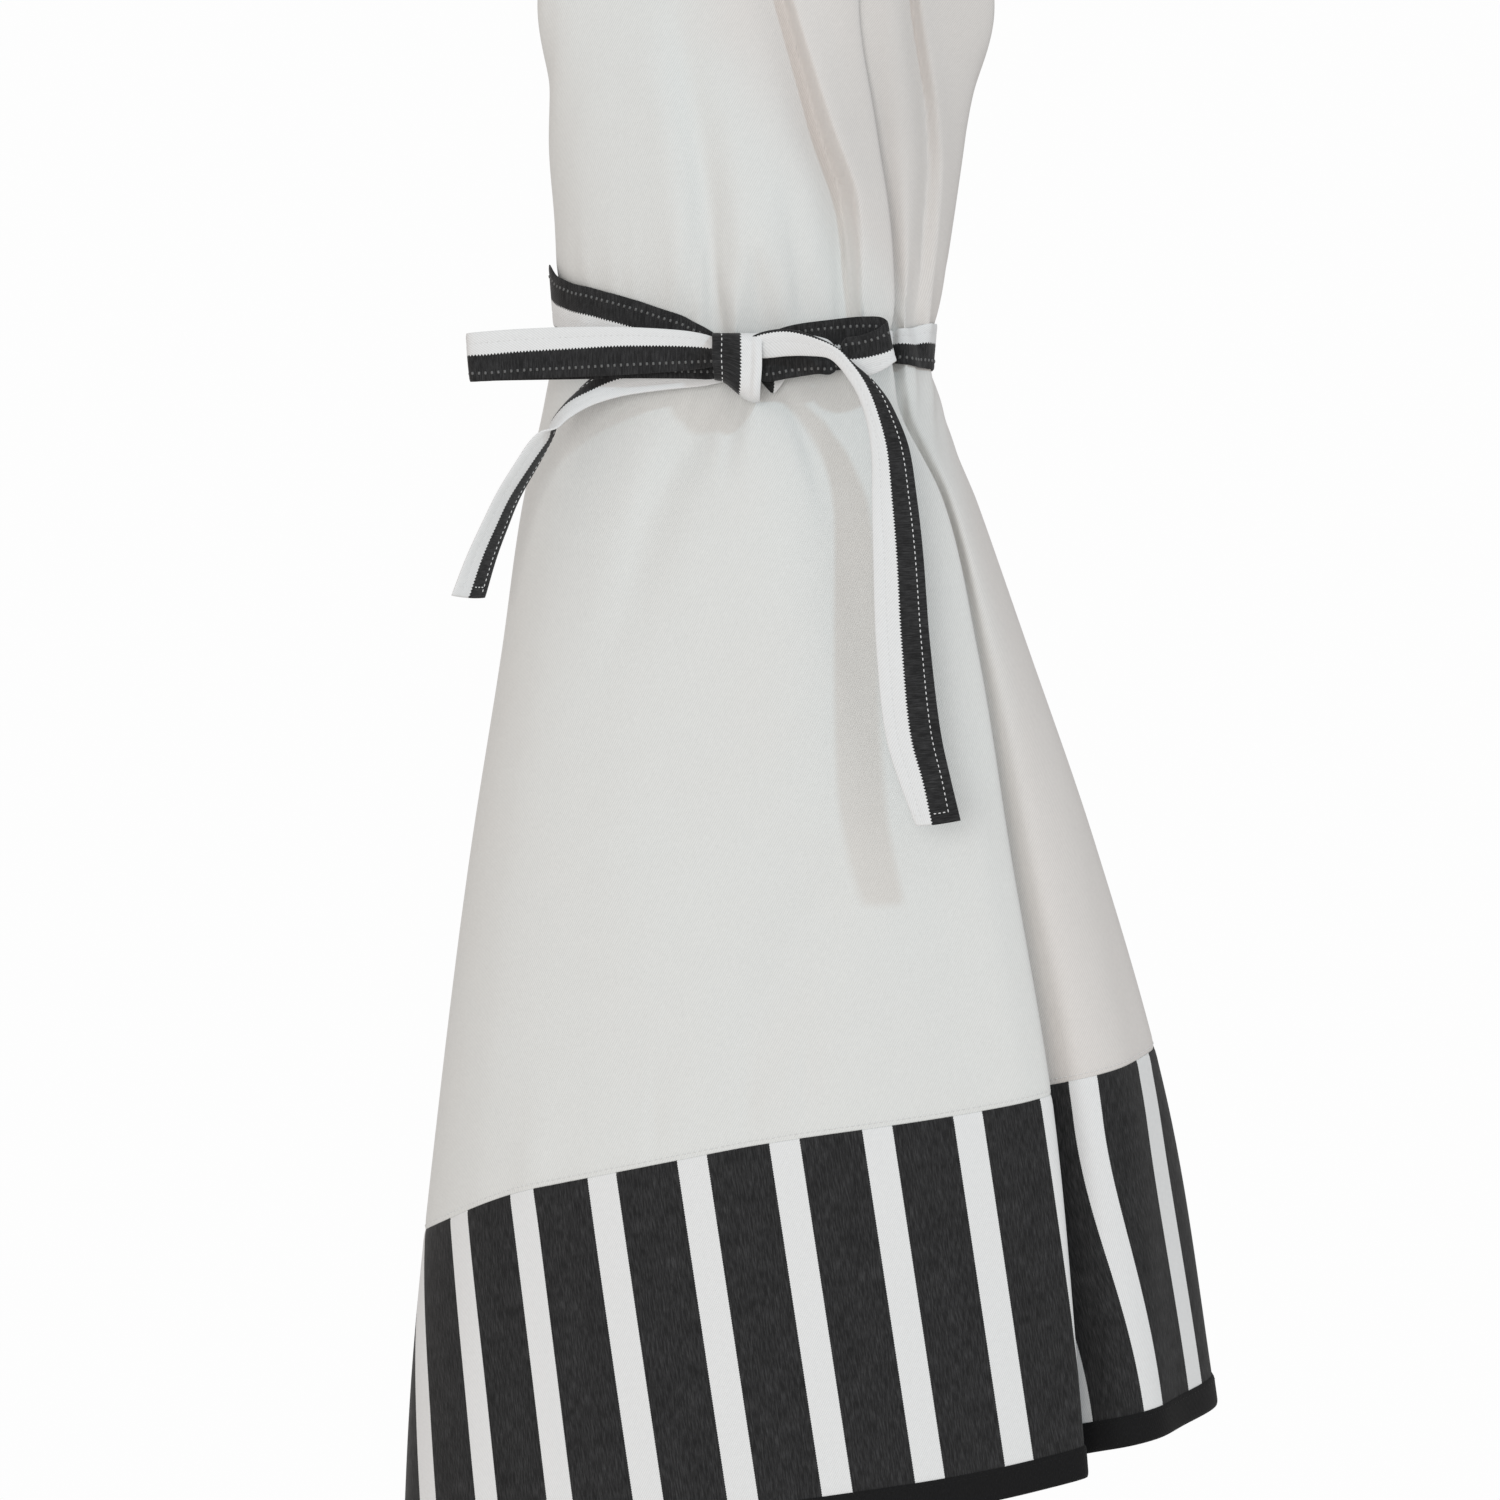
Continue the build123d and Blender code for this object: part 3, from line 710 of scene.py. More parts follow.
# =================================================================================================
# Tapes: stations of (white edge, colour boundary, dark edge), millimetres
# =================================================================================================
LEFT_LOOP = [
    (-17.5, -119, -548, -17.5, -121.0, -553.5, -17.5, -119, -560.0),
    (-23.5, -118, -545.5, -23.5, -120.7, -552.0, -23.5, -118, -560.5),
    (-34.0, -118, -543, -34.0, -119.5, -551.0, -34.0, -118, -562.0),
    (-67.0, -118.5, -540.8, -67.0, -119.3, -550.7, -67.0, -118.5, -564.5),
    (-92.0, -118, -540.7, -92.0, -118.8, -552.0, -92.0, -118, -565.5),
    (-118.5, -117.5, -541.7, -118.5, -118.2, -553.5, -118.5, -117.5, -566.5),
    (-137.0, -117, -543.0, -136.0, -117.4, -555.0, -135.0, -117, -567.5),
    (-143.0, -115.8, -543.5, -142.4, -116.0, -555.2, -141.2, -115.8, -567.6),
    (-144.7, -114, -543.7, -144.0, -114.0, -555.3, -142.7, -114, -567.6),
    (-142.8, -112.3, -543.5, -142.3, -112.0, -555.2, -141.3, -112.3, -567.5),
    (-133.5, -111.2, -543.2, -133.5, -110.8, -554.6, -133.5, -111.2, -567.0),
    (-98.5, -111, -542.5, -98.5, -110.6, -553.6, -98.5, -111, -566.3),
    (-64.0, -111, -543.2, -64.0, -110.6, -553.6, -64.0, -111, -565.8),
    (-34.0, -112, -547.3, -34.0, -111.0, -555.6, -34.0, -112, -566.0),
    (-23.5, -113.5, -550.3, -23.5, -112.0, -556.7, -23.5, -113.5, -566.2),
    (-17.5, -115, -552, -17.5, -114.0, -558.0, -17.5, -115, -565.0),
]
RIGHT_LOOP = [
    (-4.5, -118, -547.5, -4.5, -120.0, -555.0, -4.5, -118, -563.0),
    (2.0, -118.5, -545.5, 2.0, -120.5, -556.5, 2.0, -118.5, -567.5),
    (15.5, -118.5, -544, 15.5, -119.8, -554.5, 15.5, -118.5, -566.0),
    (29.0, -118, -545.5, 29.0, -119.0, -555.0, 29.0, -118, -564.0),
    (35.5, -117.5, -548.0, 35.5, -118.0, -555.8, 35.5, -117, -564.0),
    (39.5, -121.0, -555.0, 39.0, -117.0, -555.3, 39.5, -113.5, -559.0),
    (44.5, -119.5, -564, 42.5, -119.5, -556.6, 42.0, -115.5, -547.0),
    (52.5, -118.5, -565, 51.5, -119.0, -555.8, 50.0, -117, -545.0),
    (62.0, -117.5, -561.5, 61.0, -118.0, -553.5, 59.0, -116.8, -541.5),
    (66.3, -116.2, -558.5, 64.5, -116.5, -552.0, 62.0, -115.8, -539.0),
    (67.8, -114.2, -557.3, 65.8, -114.0, -550.5, 63.4, -114, -537.7),
    (65.4, -112, -557, 64.0, -111.8, -549.0, 61.0, -111.8, -535.6),
    (55.0, -110.8, -557.6, 54.0, -110.5, -548.2, 52.0, -110.8, -535.0),
    (36.0, -110.5, -559.6, 36.0, -110.2, -549.0, 36.0, -110.5, -536.5),
    (15.5, -111, -561, 15.5, -110.6, -551.0, 15.5, -111, -539.5),
    (3.0, -112, -561.6, 3.0, -111.5, -552.7, 3.0, -112, -543.7),
    (-4.5, -113, -560.7, -4.5, -112.5, -553.7, -4.5, -113, -546.0),
]
RIGHT_TAIL = [
    (-5.5, -123, -555.5, -5.5, -125.0, -547.5, -5.5, -120, -553.0),
    (2.0, -124, -556.5, 2.0, -127.0, -544.8, 2.0, -121, -551.3),
    (13.8, -124.5, -555.5, 13.7, -128.0, -543.5, 14.3, -122.5, -550.0),
    (24.0, -126, -555.5, 26.0, -129.5, -546.4, 24.5, -123.5, -553.0),
    (34.4, -129, -557, 38.4, -130.5, -552.4, 36.0, -124.5, -557.5),
    (40.3, -130.5, -562.3, 45.2, -131.5, -559.4, 45.8, -126, -563.0),
    (43.8, -131.5, -567.3, 49.7, -132.5, -565.0, 53.7, -129, -566.4),
    (47.7, -133, -573.7, 54.1, -134.0, -572.8, 61.8, -131, -575.0),
    (52.0, -135.5, -585.2, 58.4, -136.5, -584.0, 67.4, -134, -585.0),
    (55.0, -139, -602.5, 63.0, -140.0, -601.7, 73.5, -138, -601.0),
    (55.3, -144, -627.5, 65.6, -145.0, -627.5, 77.4, -143.5, -626.5),
    (55.7, -149.5, -653.5, 67.7, -150.5, -653.5, 80.2, -149.5, -653.0),
    (57.0, -157.5, -698.7, 70.1, -158.5, -698.7, 83.4, -157.5, -697.7),
    (61.7, -164, -743.7, 74.4, -165.0, -743.7, 88.6, -164, -742.2),
    (68.3, -167, -766, 80.2, -168.0, -766.0, 93.2, -167, -764.0),
    (76.3, -169.5, -787, 84.5, -170.5, -786.5, 98.0, -169.5, -784.3),
]
LEFT_TAIL = [
    (-17.5, -113, -567.5, -17.5, -112, -561, -17.5, -110.5, -553),
    (-27, -113, -569.5, -27, -110.5, -562, -27, -108.8, -553),
    (-49, -113, -571.8, -49, -110, -563.6, -49, -108, -555),
    (-69, -114, -575, -69, -110.5, -565.8, -69, -106, -557),
    (-83.7, -119, -580, -83.2, -113.5, -572, -83, -104.5, -565),
    (-94, -124.5, -586.3, -95, -116.5, -579, -93.6, -105, -577),
    (-100.3, -128, -591.5, -102.5, -118, -588.2, -99.2, -106.5, -586.8),
    (-107.7, -128.5, -593, -104.4, -119.5, -595.7, -102.1, -107, -593.4),
    (-113.2, -128.5, -598, -107.6, -119.5, -600.6, -105.1, -108, -599.4),
    (-120, -129, -608.2, -113, -120.5, -608.6, -109.5, -109.5, -608),
    (-129, -130.5, -623, -123.4, -122, -625, -119, -111, -625.5),
    (-136.4, -131, -638, -130, -123, -639, -124.5, -112.5, -639.2),
    (-144, -132, -654.6, -136.5, -124.5, -654.2, -130, -115, -654.6),
    (-151.5, -132.5, -674, -143.4, -126, -675, -135.7, -117.5, -674.6),
]
UNDER_KNOT = [
    (12.5, -109.5, -559, 7, -111, -559, -3, -111, -559),
    (13, -109.5, -565, 7.2, -111, -565, -1, -111, -564),
    (10.5, -110, -569.5, 7.2, -111.2, -569.5, 2.5, -111, -569),
    (7.8, -111, -573, 7, -111.3, -573, 5.8, -111, -572.5),
]
# Upper and lower edges of the waist ties across the front: (place across, height).
LEFT_TIE_TOP = [
    (-103, -502.0), (-99, -511.0), (-92, -515.5), (-60, -525.8), (-36.3, -534.3), (-23, -542.3),
    (-12, -547.0)]
LEFT_TIE_LOW = [
    (-103, -531.5), (-99, -536.0), (-92, -540.5), (-59, -551.2), (-36.3, -558.5), (-23, -562.5),
    (-12, -561.0)]
RIGHT_TIE_TOP = [(-12, -551.0), (3, -548.5), (35, -546.0), (64, -540.5), (76, -537.5), (88, -534.2)]
RIGHT_TIE_LOW = [(-12, -559.0), (3, -562.0), (35, -561.5), (68, -555.5), (78.5, -557.5), (88, -558.0)]
TIE_LIFT = 0.0016           # how far a tie's middle lies off the cloth's
TIE_BULGE = 0.0024          # and how much further off it where it turns round the left side
TIE_TUCK = 14               # columns between the cloth's rear edge and the tie's sewn end


def wrap_surface(columns, top, low, white_on_top):
    """A waist tie laid round the cloth along the given columns, taut between its edges' heights."""
    rails = []
    for edge in (top, low):
        edge = np.array(edge) * MM
        rail = []
        for column in columns:
            z = np.interp(CLOTH[len(CLOTH) // 3, column, 0], edge[:, 0], edge[:, 1])
            for _ in range(3):
                x = cloth_at(column, np.array([z]))[0][0, 0]
                z = np.interp(x, edge[:, 0], edge[:, 1])
            place, out = cloth_at(column, np.array([z]))
            slack = TIE_BULGE * smooth_step(0.3, 0.9, -out[0][0])
            rail.append(place[0] + out[0] * (TIE_LIFT + slack))
        rails.append(smooth_rows(np.array(rail), 9))
    upper, lower = rails
    white, dark = (upper, lower) if white_on_top else (lower, upper)
    middle = white + (dark - white) * BOUNDARY
    rows = np.concatenate([white, middle, dark], axis=1)
    line = spread(rows, len(columns) * 2)
    u = ACROSS[None, :, None]
    return line[:, None, 0:3] * (1 - u) + line[:, None, 6:9] * u


KNOT_STEPS = 72
KNOT_TOP, KNOT_FOOT = -0.5445, -0.5775
KNOT_SLANT = 0.0110         # how much higher the wrap's lower edge lies on its left
KNOT_RIGHT, KNOT_WIDTH = 0.0009, 0.0236
KNOT_ROUNDING = 0.62        # 1 makes the wrap's section an ellipse, and less makes it squarer


def knot_surface():
    """The band of tape wrapped round the middle of the bow, its lower edge slanting down to the right."""
    centre_y = (KNOT_LOW.y + KNOT_HIGH.y) / 2
    half_depth = (KNOT_HIGH.y - KNOT_LOW.y) / 2 - 0.0012
    points = np.zeros((KNOT_STEPS + 1, len(ACROSS), 3))
    for i in range(KNOT_STEPS + 1):
        turn = 2 * pi * i / KNOT_STEPS
        up = np.sign(cos(turn)) * abs(cos(turn))**KNOT_ROUNDING
        front = np.sign(sin(turn)) * abs(sin(turn))**KNOT_ROUNDING
        for j, u in enumerate(ACROSS):
            low = KNOT_FOOT + KNOT_SLANT * smooth_step(0.12, 0.95, u)
            waisted = 0.0010 * bell(up, 0.45) * (u - 0.5)
            lean = 0.0012 * up * (0.5 - u)
            pleat = 0.0007 * cos(u * 11 + 1.4 * up) + 0.0008 * bell(u - 0.12, 0.05)
            points[i, j] = (KNOT_RIGHT - KNOT_WIDTH * u - waisted + lean,
                            centre_y - (half_depth + pleat) * front,
                            (KNOT_TOP + low) / 2 + (KNOT_TOP - low) / 2 * up)
    return points


STRAP_Y = -0.0375           # the strap's middle on the rod, front to rear
STRAP_COLUMN = 8            # columns in from the cloth's edge to the strap's foot
STRAP_FEET = {-1: -0.1015, 1: 0.1185}  # across, where the strap is sewn to each corner of the bib
FOOT_OVERLAP = 0.0150       # how far the strap's ends reach down the bib
FOOT_BEHIND = 0.0022        # how far they lie behind its cloth
CROWN_ENDS = (162, 18)      # degrees round the rod between which the strap lies on it
LEG_STEPS, CROWN_STEPS, STRAP_ROWS = 40, 18, 560


def strap_leg(side, around):
    """Places down one leg of the neck strap, and the way across it, turning from edge-on to flat."""
    foot_x = STRAP_FEET[side]
    column = STRAP_COLUMN if side < 0 else -1 - STRAP_COLUMN
    foot_y = CLOTH[0, column, 1] + FOOT_BEHIND
    foot_z = BIB_TOP - FOOT_OVERLAP
    top = np.array([side * around * 0.94, STRAP_Y, around * 0.30])
    line = []
    for k in range(LEG_STEPS + 1):
        share = k / LEG_STEPS
        turned = radians(90) * smooth_step(0.0, 0.80, share)
        bow = 0.0035 * sin(pi * share)
        x = top[0] + (foot_x - top[0]) * share - side * bow
        y = STRAP_Y + (foot_y - STRAP_Y) * smooth_step(0.0, 0.85, share)
        z = top[2] + (foot_z - top[2]) * share
        across = np.array([sin(turned), -cos(turned), 0.12 * sin(turned) * share])
        line.append((np.array([x, y, z]), across))
    return line


def strap_surface():
    """The neck strap: up from one corner of the bib, over the rod and down to the other."""
    around = (ROD_HIGH.x - ROD_LOW.x) / 2 + sizes().tape_thickness * 0.75
    first, last = CROWN_ENDS
    crown = []
    for k in range(1, CROWN_STEPS):
        turn = radians(first - (first - last) * k / CROWN_STEPS)
        place = np.array([around * cos(turn), STRAP_Y, around * sin(turn)])
        crown.append((place, np.array([0.0, -1.0, 0.0])))
    points = []
    for place, across in strap_leg(-1, around)[::-1] + crown + strap_leg(1, around):
        across = across / np.linalg.norm(across)
        points.append(place + np.outer(ACROSS - 0.5, across) * sizes().tape_width)
    points = np.array(points)
    return spread(points.reshape(len(points), -1), STRAP_ROWS).reshape(STRAP_ROWS, len(ACROSS), 3)


# =================================================================================================
# Materials
# =================================================================================================
def place_node(tree, kind, settings=None, inputs=None):
    """A node with its settings, and its inputs given as values or as sockets to link."""
    node = tree.nodes.new("ShaderNode" + kind)
    for key, value in (settings or {}).items():
        setattr(node, key, value)
    for key, value in (inputs or {}).items():
        if isinstance(value, bpy.types.NodeSocket):
            tree.links.new(value, node.inputs[key])
        else:
            node.inputs[key].default_value = value
    return node


def maths(tree, operation, *values):
    """The result of one arithmetic node."""
    return place_node(tree, "Math", {"operation": operation}, dict(enumerate(values))).outputs[0]


def mix_colour(tree, factor, a, b, blend="MIX"):
    """Two colours mixed by a factor, or blended."""
    settings = {"data_type": "RGBA", "blend_type": blend}
    return place_node(tree, "Mix", settings, {0: factor, 6: a, 7: b}).outputs[2]


def grey(tree, value):
    """A colour with the same value in all its channels."""
    return place_node(tree, "CombineColor", inputs={0: value, 1: value, 2: value}).outputs[0]


def noise(tree, vector, scale, detail, roughness=0.5):
    """Values between 0 and 1 that wander over the vector."""
    return place_node(tree, "TexNoise", inputs={
        "Vector": vector, "Scale": scale, "Detail": detail, "Roughness": roughness}).outputs["Fac"]


def new_group(name, inputs, outputs):
    """An empty node group with its sockets: inputs are (name, type, default), outputs (name, type)."""
    tree = bpy.data.node_groups.new(name, "ShaderNodeTree")
    for label, kind, default in inputs:
        socket = tree.interface.new_socket(name=label, in_out="INPUT", socket_type="NodeSocket" + kind)
        if default is not None:
            socket.default_value = default
    for label, kind in outputs:
        tree.interface.new_socket(name=label, in_out="OUTPUT", socket_type="NodeSocket" + kind)
    return tree, tree.nodes.new("NodeGroupInput"), tree.nodes.new("NodeGroupOutput")


def weave_group():
    """Diagonal twill: fine ribs broken up by the threads that cross them, with a little unevenness."""
    tree, given, made = new_group(
        "Twill weave",
        [("Vector", "Vector", None), ("Ribs", "Float", 900.0), ("Unevenness", "Float", 0.5)],
        [("Height", "Float"), ("Shade", "Float")])
    vector, ribs, unevenness = (given.outputs[name] for name in ("Vector", "Ribs", "Unevenness"))
    split = place_node(tree, "SeparateXYZ", inputs={0: vector})
    slack = maths(tree, "MULTIPLY", noise(tree, vector, 140.0, 3.0), unevenness)
    slack = maths(tree, "MULTIPLY", slack, 6.0)
    diagonal = maths(tree, "ADD", split.outputs[0], maths(tree, "MULTIPLY", split.outputs[1], 0.72))
    turns = maths(tree, "MULTIPLY", ribs, 2 * pi)
    rib = maths(tree, "SINE", maths(tree, "MULTIPLY_ADD", diagonal, turns, slack))
    other = maths(tree, "SUBTRACT", split.outputs[1], maths(tree, "MULTIPLY", split.outputs[0], 0.35))
    turns = maths(tree, "MULTIPLY", ribs, 4.4 * pi)
    cross = maths(tree, "SINE", maths(tree, "MULTIPLY_ADD", other, turns, slack))
    both = maths(tree, "MULTIPLY_ADD", cross, 0.35, rib)
    height = maths(tree, "MULTIPLY_ADD", both, 0.37, 0.5)
    height = maths(tree, "MULTIPLY_ADD", noise(tree, vector, 420.0, 2.0), 0.5, height)
    tree.links.new(height, made.inputs["Height"])
    tree.links.new(maths(tree, "MULTIPLY_ADD", height, 0.16, 0.86), made.inputs["Shade"])


def fibres_group():
    """Brushed fibres drawn out along the thread, over a soft mottling."""
    tree, given, made = new_group(
        "Brushed fibres",
        [("Vector", "Vector", None), ("Fibres", "Float", 2200.0), ("Drawn out", "Float", 0.05)],
        [("Fibre", "Float"), ("Mottle", "Float")])
    vector = given.outputs["Vector"]
    split = place_node(tree, "SeparateXYZ", inputs={0: vector})
    along = maths(tree, "MULTIPLY", split.outputs[1], given.outputs["Drawn out"])
    stretched = place_node(tree, "CombineXYZ", inputs={0: split.outputs[0], 1: along}).outputs[0]
    fibre = noise(tree, stretched, given.outputs["Fibres"], 4.0, 0.65)
    fibre = place_node(tree, "MapRange", inputs={0: fibre, 1: 0.42, 2: 0.72})
    tree.links.new(fibre.outputs[0], made.inputs["Fibre"])
    tree.links.new(noise(tree, vector, 75.0, 5.0, 0.7), made.inputs["Mottle"])


def stripes_group():
    """1 on the white stripes and 0 on the dark ones, with edges stepped by the weave."""
    tree, given, made = new_group(
        "Woven stripes",
        [("Across", "Float", 0.0), ("Along", "Float", 0.0), ("Pitch", "Float", 0.046),
         ("Share", "Float", 0.33), ("Start", "Float", 0.0), ("Step", "Float", 0.0011),
         ("Tooth", "Float", 0.0004)],
        [("White", "Float")])
    tooth = maths(tree, "FRACT", maths(tree, "DIVIDE", given.outputs["Along"], given.outputs["Step"]))
    tooth = maths(tree, "ABSOLUTE", maths(tree, "SUBTRACT", tooth, 0.5))
    depth = maths(tree, "MULTIPLY", given.outputs["Tooth"], 2.0)
    moved = maths(tree, "MULTIPLY_ADD", tooth, depth, given.outputs["Across"])
    moved = maths(tree, "SUBTRACT", moved, given.outputs["Start"])
    share = maths(tree, "FRACT", maths(tree, "DIVIDE", moved, given.outputs["Pitch"]))
    tree.links.new(maths(tree, "LESS_THAN", share, given.outputs["Share"]), made.inputs["White"])


GROUPS = {"Twill weave": weave_group, "Brushed fibres": fibres_group, "Woven stripes": stripes_group}


def use_group(tree, name, **inputs):
    """One of the groups, built when it is first wanted, with its inputs given as values or sockets."""
    if name not in bpy.data.node_groups:
        GROUPS[name]()
    named = {key.replace("_", " "): value for key, value in inputs.items()}
    return place_node(tree, "Group", {"node_tree": bpy.data.node_groups[name]}, named)


def new_material(name, roughness, sheen=0.0, metallic=0.0):
    """A material, its node tree, its shader and the vector of the grain."""
    material = bpy.data.materials.new(name)
    material.use_nodes = True
    tree = material.node_tree
    shader = tree.nodes["Principled BSDF"]
    shader.inputs["Roughness"].default_value = roughness
    shader.inputs["Metallic"].default_value = metallic
    shader.inputs["Specular IOR Level"].default_value = 0.25 if metallic == 0 else 0.5
    shader.inputs["Sheen Weight"].default_value = sheen
    shader.inputs["Sheen Roughness"].default_value = 0.5
    vector = place_node(tree, "UVMap", {"uv_map": "grain"}).outputs[0]
    return material, tree, shader, vector


def add_bump(tree, shader, height, strength, distance):
    """Fine relief from a height, fed to the shader's normal."""
    bump = place_node(tree, "Bump", inputs={"Height": height, "Strength": strength, "Distance": distance})
    tree.links.new(bump.outputs[0], shader.inputs["Normal"])


def rgba(colour, factor=1.0):
    """A colour made lighter or darker, as four channels."""
    return (*(channel * factor for channel in colour), 1.0)


def white_material():
    """Off-white twill with a random warm mottle, painted warm shade towards its right on the flap and the
    bib, and painted shade at the bib's right rim.
    """
    material, tree, shader, vector = new_material("White twill", 0.92, 0.12)
    split = place_node(tree, "SeparateXYZ", inputs={0: vector})
    across, down = split.outputs[0], split.outputs[1]
    weave = use_group(tree, "Twill weave", Vector=vector, Ribs=760.0, Unevenness=0.5)
    above = place_node(tree, "MapRange", inputs={0: down, 1: -0.36, 2: -0.56, 3: 0.0, 4: 0.115})
    smooth = {"interpolation_type": "SMOOTHSTEP"}
    # Painted warm shade: the twill turns warmer and darker towards its right, on the flap and the bib's right
    # side.
    painted_warm_shade = maths(tree, "ADD", across, above.outputs[0])
    painted_warm_shade = place_node(tree, "MapRange", smooth, {0: painted_warm_shade, 1: 0.135, 2: 0.195})
    # A random warm mottle, to which the painted warm shade is added.
    warm = maths(tree, "MULTIPLY_ADD", noise(tree, vector, 9.0, 3.0, 0.6), 0.5, -0.15)
    warm = place_node(tree, "Math", {"operation": "ADD", "use_clamp": True}, {0: warm, 1: painted_warm_shade.outputs[0]})
    base = mix_colour(tree, warm.outputs[0], rgba(colours().cloth), rgba(colours().cloth_warm_mottle_and_shade))
    fine = use_group(tree, "Brushed fibres", Vector=vector, Fibres=900.0, Drawn_out=0.3)
    shade = maths(tree, "MULTIPLY_ADD", fine.outputs["Mottle"], 0.05, weave.outputs["Shade"])
    # Painted shade: the twill is darkened along the bib's right rim, where the cloth turns away to the rear.
    upper = place_node(tree, "MapRange", inputs={0: down, 1: -0.40, 2: -0.50, 3: 0.0, 4: 0.11})
    rim = place_node(tree, "MapRange", smooth, {0: across, 1: 0.108, 2: 0.150})
    painted_rim_shade = maths(tree, "MULTIPLY", upper.outputs[0], rim.outputs[0])
    shade = maths(tree, "MULTIPLY", shade, maths(tree, "SUBTRACT", 1.0, painted_rim_shade))
    tree.links.new(mix_colour(tree, 1.0, base, grey(tree, shade), "MULTIPLY"), shader.inputs["Base Color"])
    add_bump(tree, shader, weave.outputs["Height"], 0.35, 0.00025)
    return material


def two_tone_material(name, pitch, share, start, step, tooth, crosswise=False):
    """White and charcoal stripes, with brushed fibres drawn out along or across them."""
    material, tree, shader, vector = new_material(name, 0.9, 0.10)
    split = place_node(tree, "SeparateXYZ", inputs={0: vector})
    across, along = split.outputs[0], split.outputs[1]
    thread = vector
    if crosswise:
        thread = place_node(tree, "CombineXYZ", inputs={0: along, 1: across}).outputs[0]
    stripes = use_group(tree, "Woven stripes", Across=across, Along=along, Pitch=pitch, Share=share,
                        Start=start, Step=step, Tooth=tooth)
    weave = use_group(tree, "Twill weave", Vector=vector, Ribs=820.0, Unevenness=0.4)
    fibres = use_group(tree, "Brushed fibres", Vector=thread, Fibres=1500.0, Drawn_out=0.10)
    charcoal = colours().stripe
    dark = mix_colour(tree, fibres.outputs["Fibre"], rgba(charcoal, 0.70), rgba(charcoal, 2.6))
    mottle = place_node(tree, "MapRange", inputs={
        0: fibres.outputs["Mottle"], 1: 0.3, 2: 0.7, 3: 0.75, 4: 1.3})
    dark = mix_colour(tree, 1.0, dark, grey(tree, mottle.outputs[0]), "MULTIPLY")
    shade = grey(tree, weave.outputs["Shade"])
    white = mix_colour(tree, 1.0, rgba(colours().stripe_white, 1.04), shade, "MULTIPLY")
    tree.links.new(mix_colour(tree, stripes.outputs["White"], dark, white), shader.inputs["Base Color"])
    add_bump(tree, shader, weave.outputs["Height"], 0.35, 0.00025)
    return material


def binding_material():
    """Black binding with a cross-wise rib."""
    material, tree, shader, vector = new_material("Black binding", 0.85, 0.05)
    weave = use_group(tree, "Twill weave", Vector=vector, Ribs=620.0, Unevenness=0.3)
    fibres = use_group(tree, "Brushed fibres", Vector=vector, Fibres=1800.0, Drawn_out=0.3)
    base = mix_colour(tree, fibres.outputs["Fibre"], rgba(colours().binding), rgba(colours().binding, 2.6))
    tree.links.new(base, shader.inputs["Base Color"])
    add_bump(tree, shader, weave.outputs["Height"], 0.4, 0.0003)
    return material


def thread_material(name, colour):
    """Twisted sewing thread."""
    material, tree, shader, _ = new_material(name, 0.7, 0.1)
    twist = noise(tree, place_node(tree, "TexCoord").outputs["Object"], 2600.0, 2.0)
    base = mix_colour(tree, twist, rgba(colour, 0.7), rgba(colour, 1.25))
    tree.links.new(base, shader.inputs["Base Color"])
    add_bump(tree, shader, twist, 0.3, 0.0001)
    return material


def steel_material(name, stretch, roughness):
    """Brushed steel: fine scratches along one direction, with fingered, duller patches."""
    material, tree, shader, _ = new_material(name, roughness, 0.0, 1.0)
    place = place_node(tree, "TexCoord").outputs["Object"]
    mapped = place_node(tree, "Mapping", inputs={"Vector": place, "Scale": stretch}).outputs[0]
    scratch = noise(tree, mapped, 40.0, 6.0, 0.7)
    base = mix_colour(tree, scratch, rgba(colours().steel, 0.72), rgba(colours().steel, 1.15))
    tree.links.new(base, shader.inputs["Base Color"])
    rough = maths(tree, "MULTIPLY_ADD", scratch, 0.18, roughness - 0.14)
    rough = maths(tree, "MULTIPLY_ADD", noise(tree, place, 55.0, 4.0), 0.14, rough)
    tree.links.new(rough, shader.inputs["Roughness"])
    add_bump(tree, shader, scratch, 0.12, 0.0002)
    return material


def floor_material():
    """Pale, faintly uneven floor."""
    material, tree, shader, _ = new_material("Pale floor", 0.8)
    grain = noise(tree, place_node(tree, "TexCoord").outputs["Object"], 7.0, 3.0)
    base = mix_colour(tree, grain, (0.83, 0.83, 0.83, 1), (0.87, 0.87, 0.87, 1))
    tree.links.new(base, shader.inputs["Base Color"])
    return material


def finish(name):
    """A material by name, made when it is first wanted."""
    if name not in bpy.data.materials:
        FINISHES[name]()
    return bpy.data.materials[name]


FINISHES = {
    "White twill": white_material,
    "Striped twill": lambda: two_tone_material("Striped twill", sizes().stripe_pitch, sizes().white_share,
                                               -0.0020, 0.0012, 0.0003),
    "Two-tone tape": lambda: two_tone_material("Two-tone tape", 0.1, BOUNDARY * 0.25,
                                               0.0, 0.0016, 0.0010, True),
    "Black binding": binding_material,
    "Grey thread": lambda: thread_material("Grey thread", colours().thread),
    "White thread": lambda: thread_material("White thread", colours().stripe_white),
    "Black thread": lambda: thread_material("Black thread", colours().binding),
    "Brushed steel": lambda: steel_material("Brushed steel", (1.0, 1.0, 26.0), 0.34),
    "Turned steel": lambda: steel_material("Turned steel", (14.0, 1.5, 14.0), 0.28),
    "Screw steel": lambda: steel_material("Screw steel", (20.0, 20.0, 4.0), 0.30),
    "Pale floor": floor_material,
}


def finish_piece(piece, name):
    """Gives a piece its material."""
    piece.data.materials.append(finish(name))


# =================================================================================================
# Operators
# =================================================================================================
CAMERA_PLACE = (-0.0045, -3.21, -0.75)
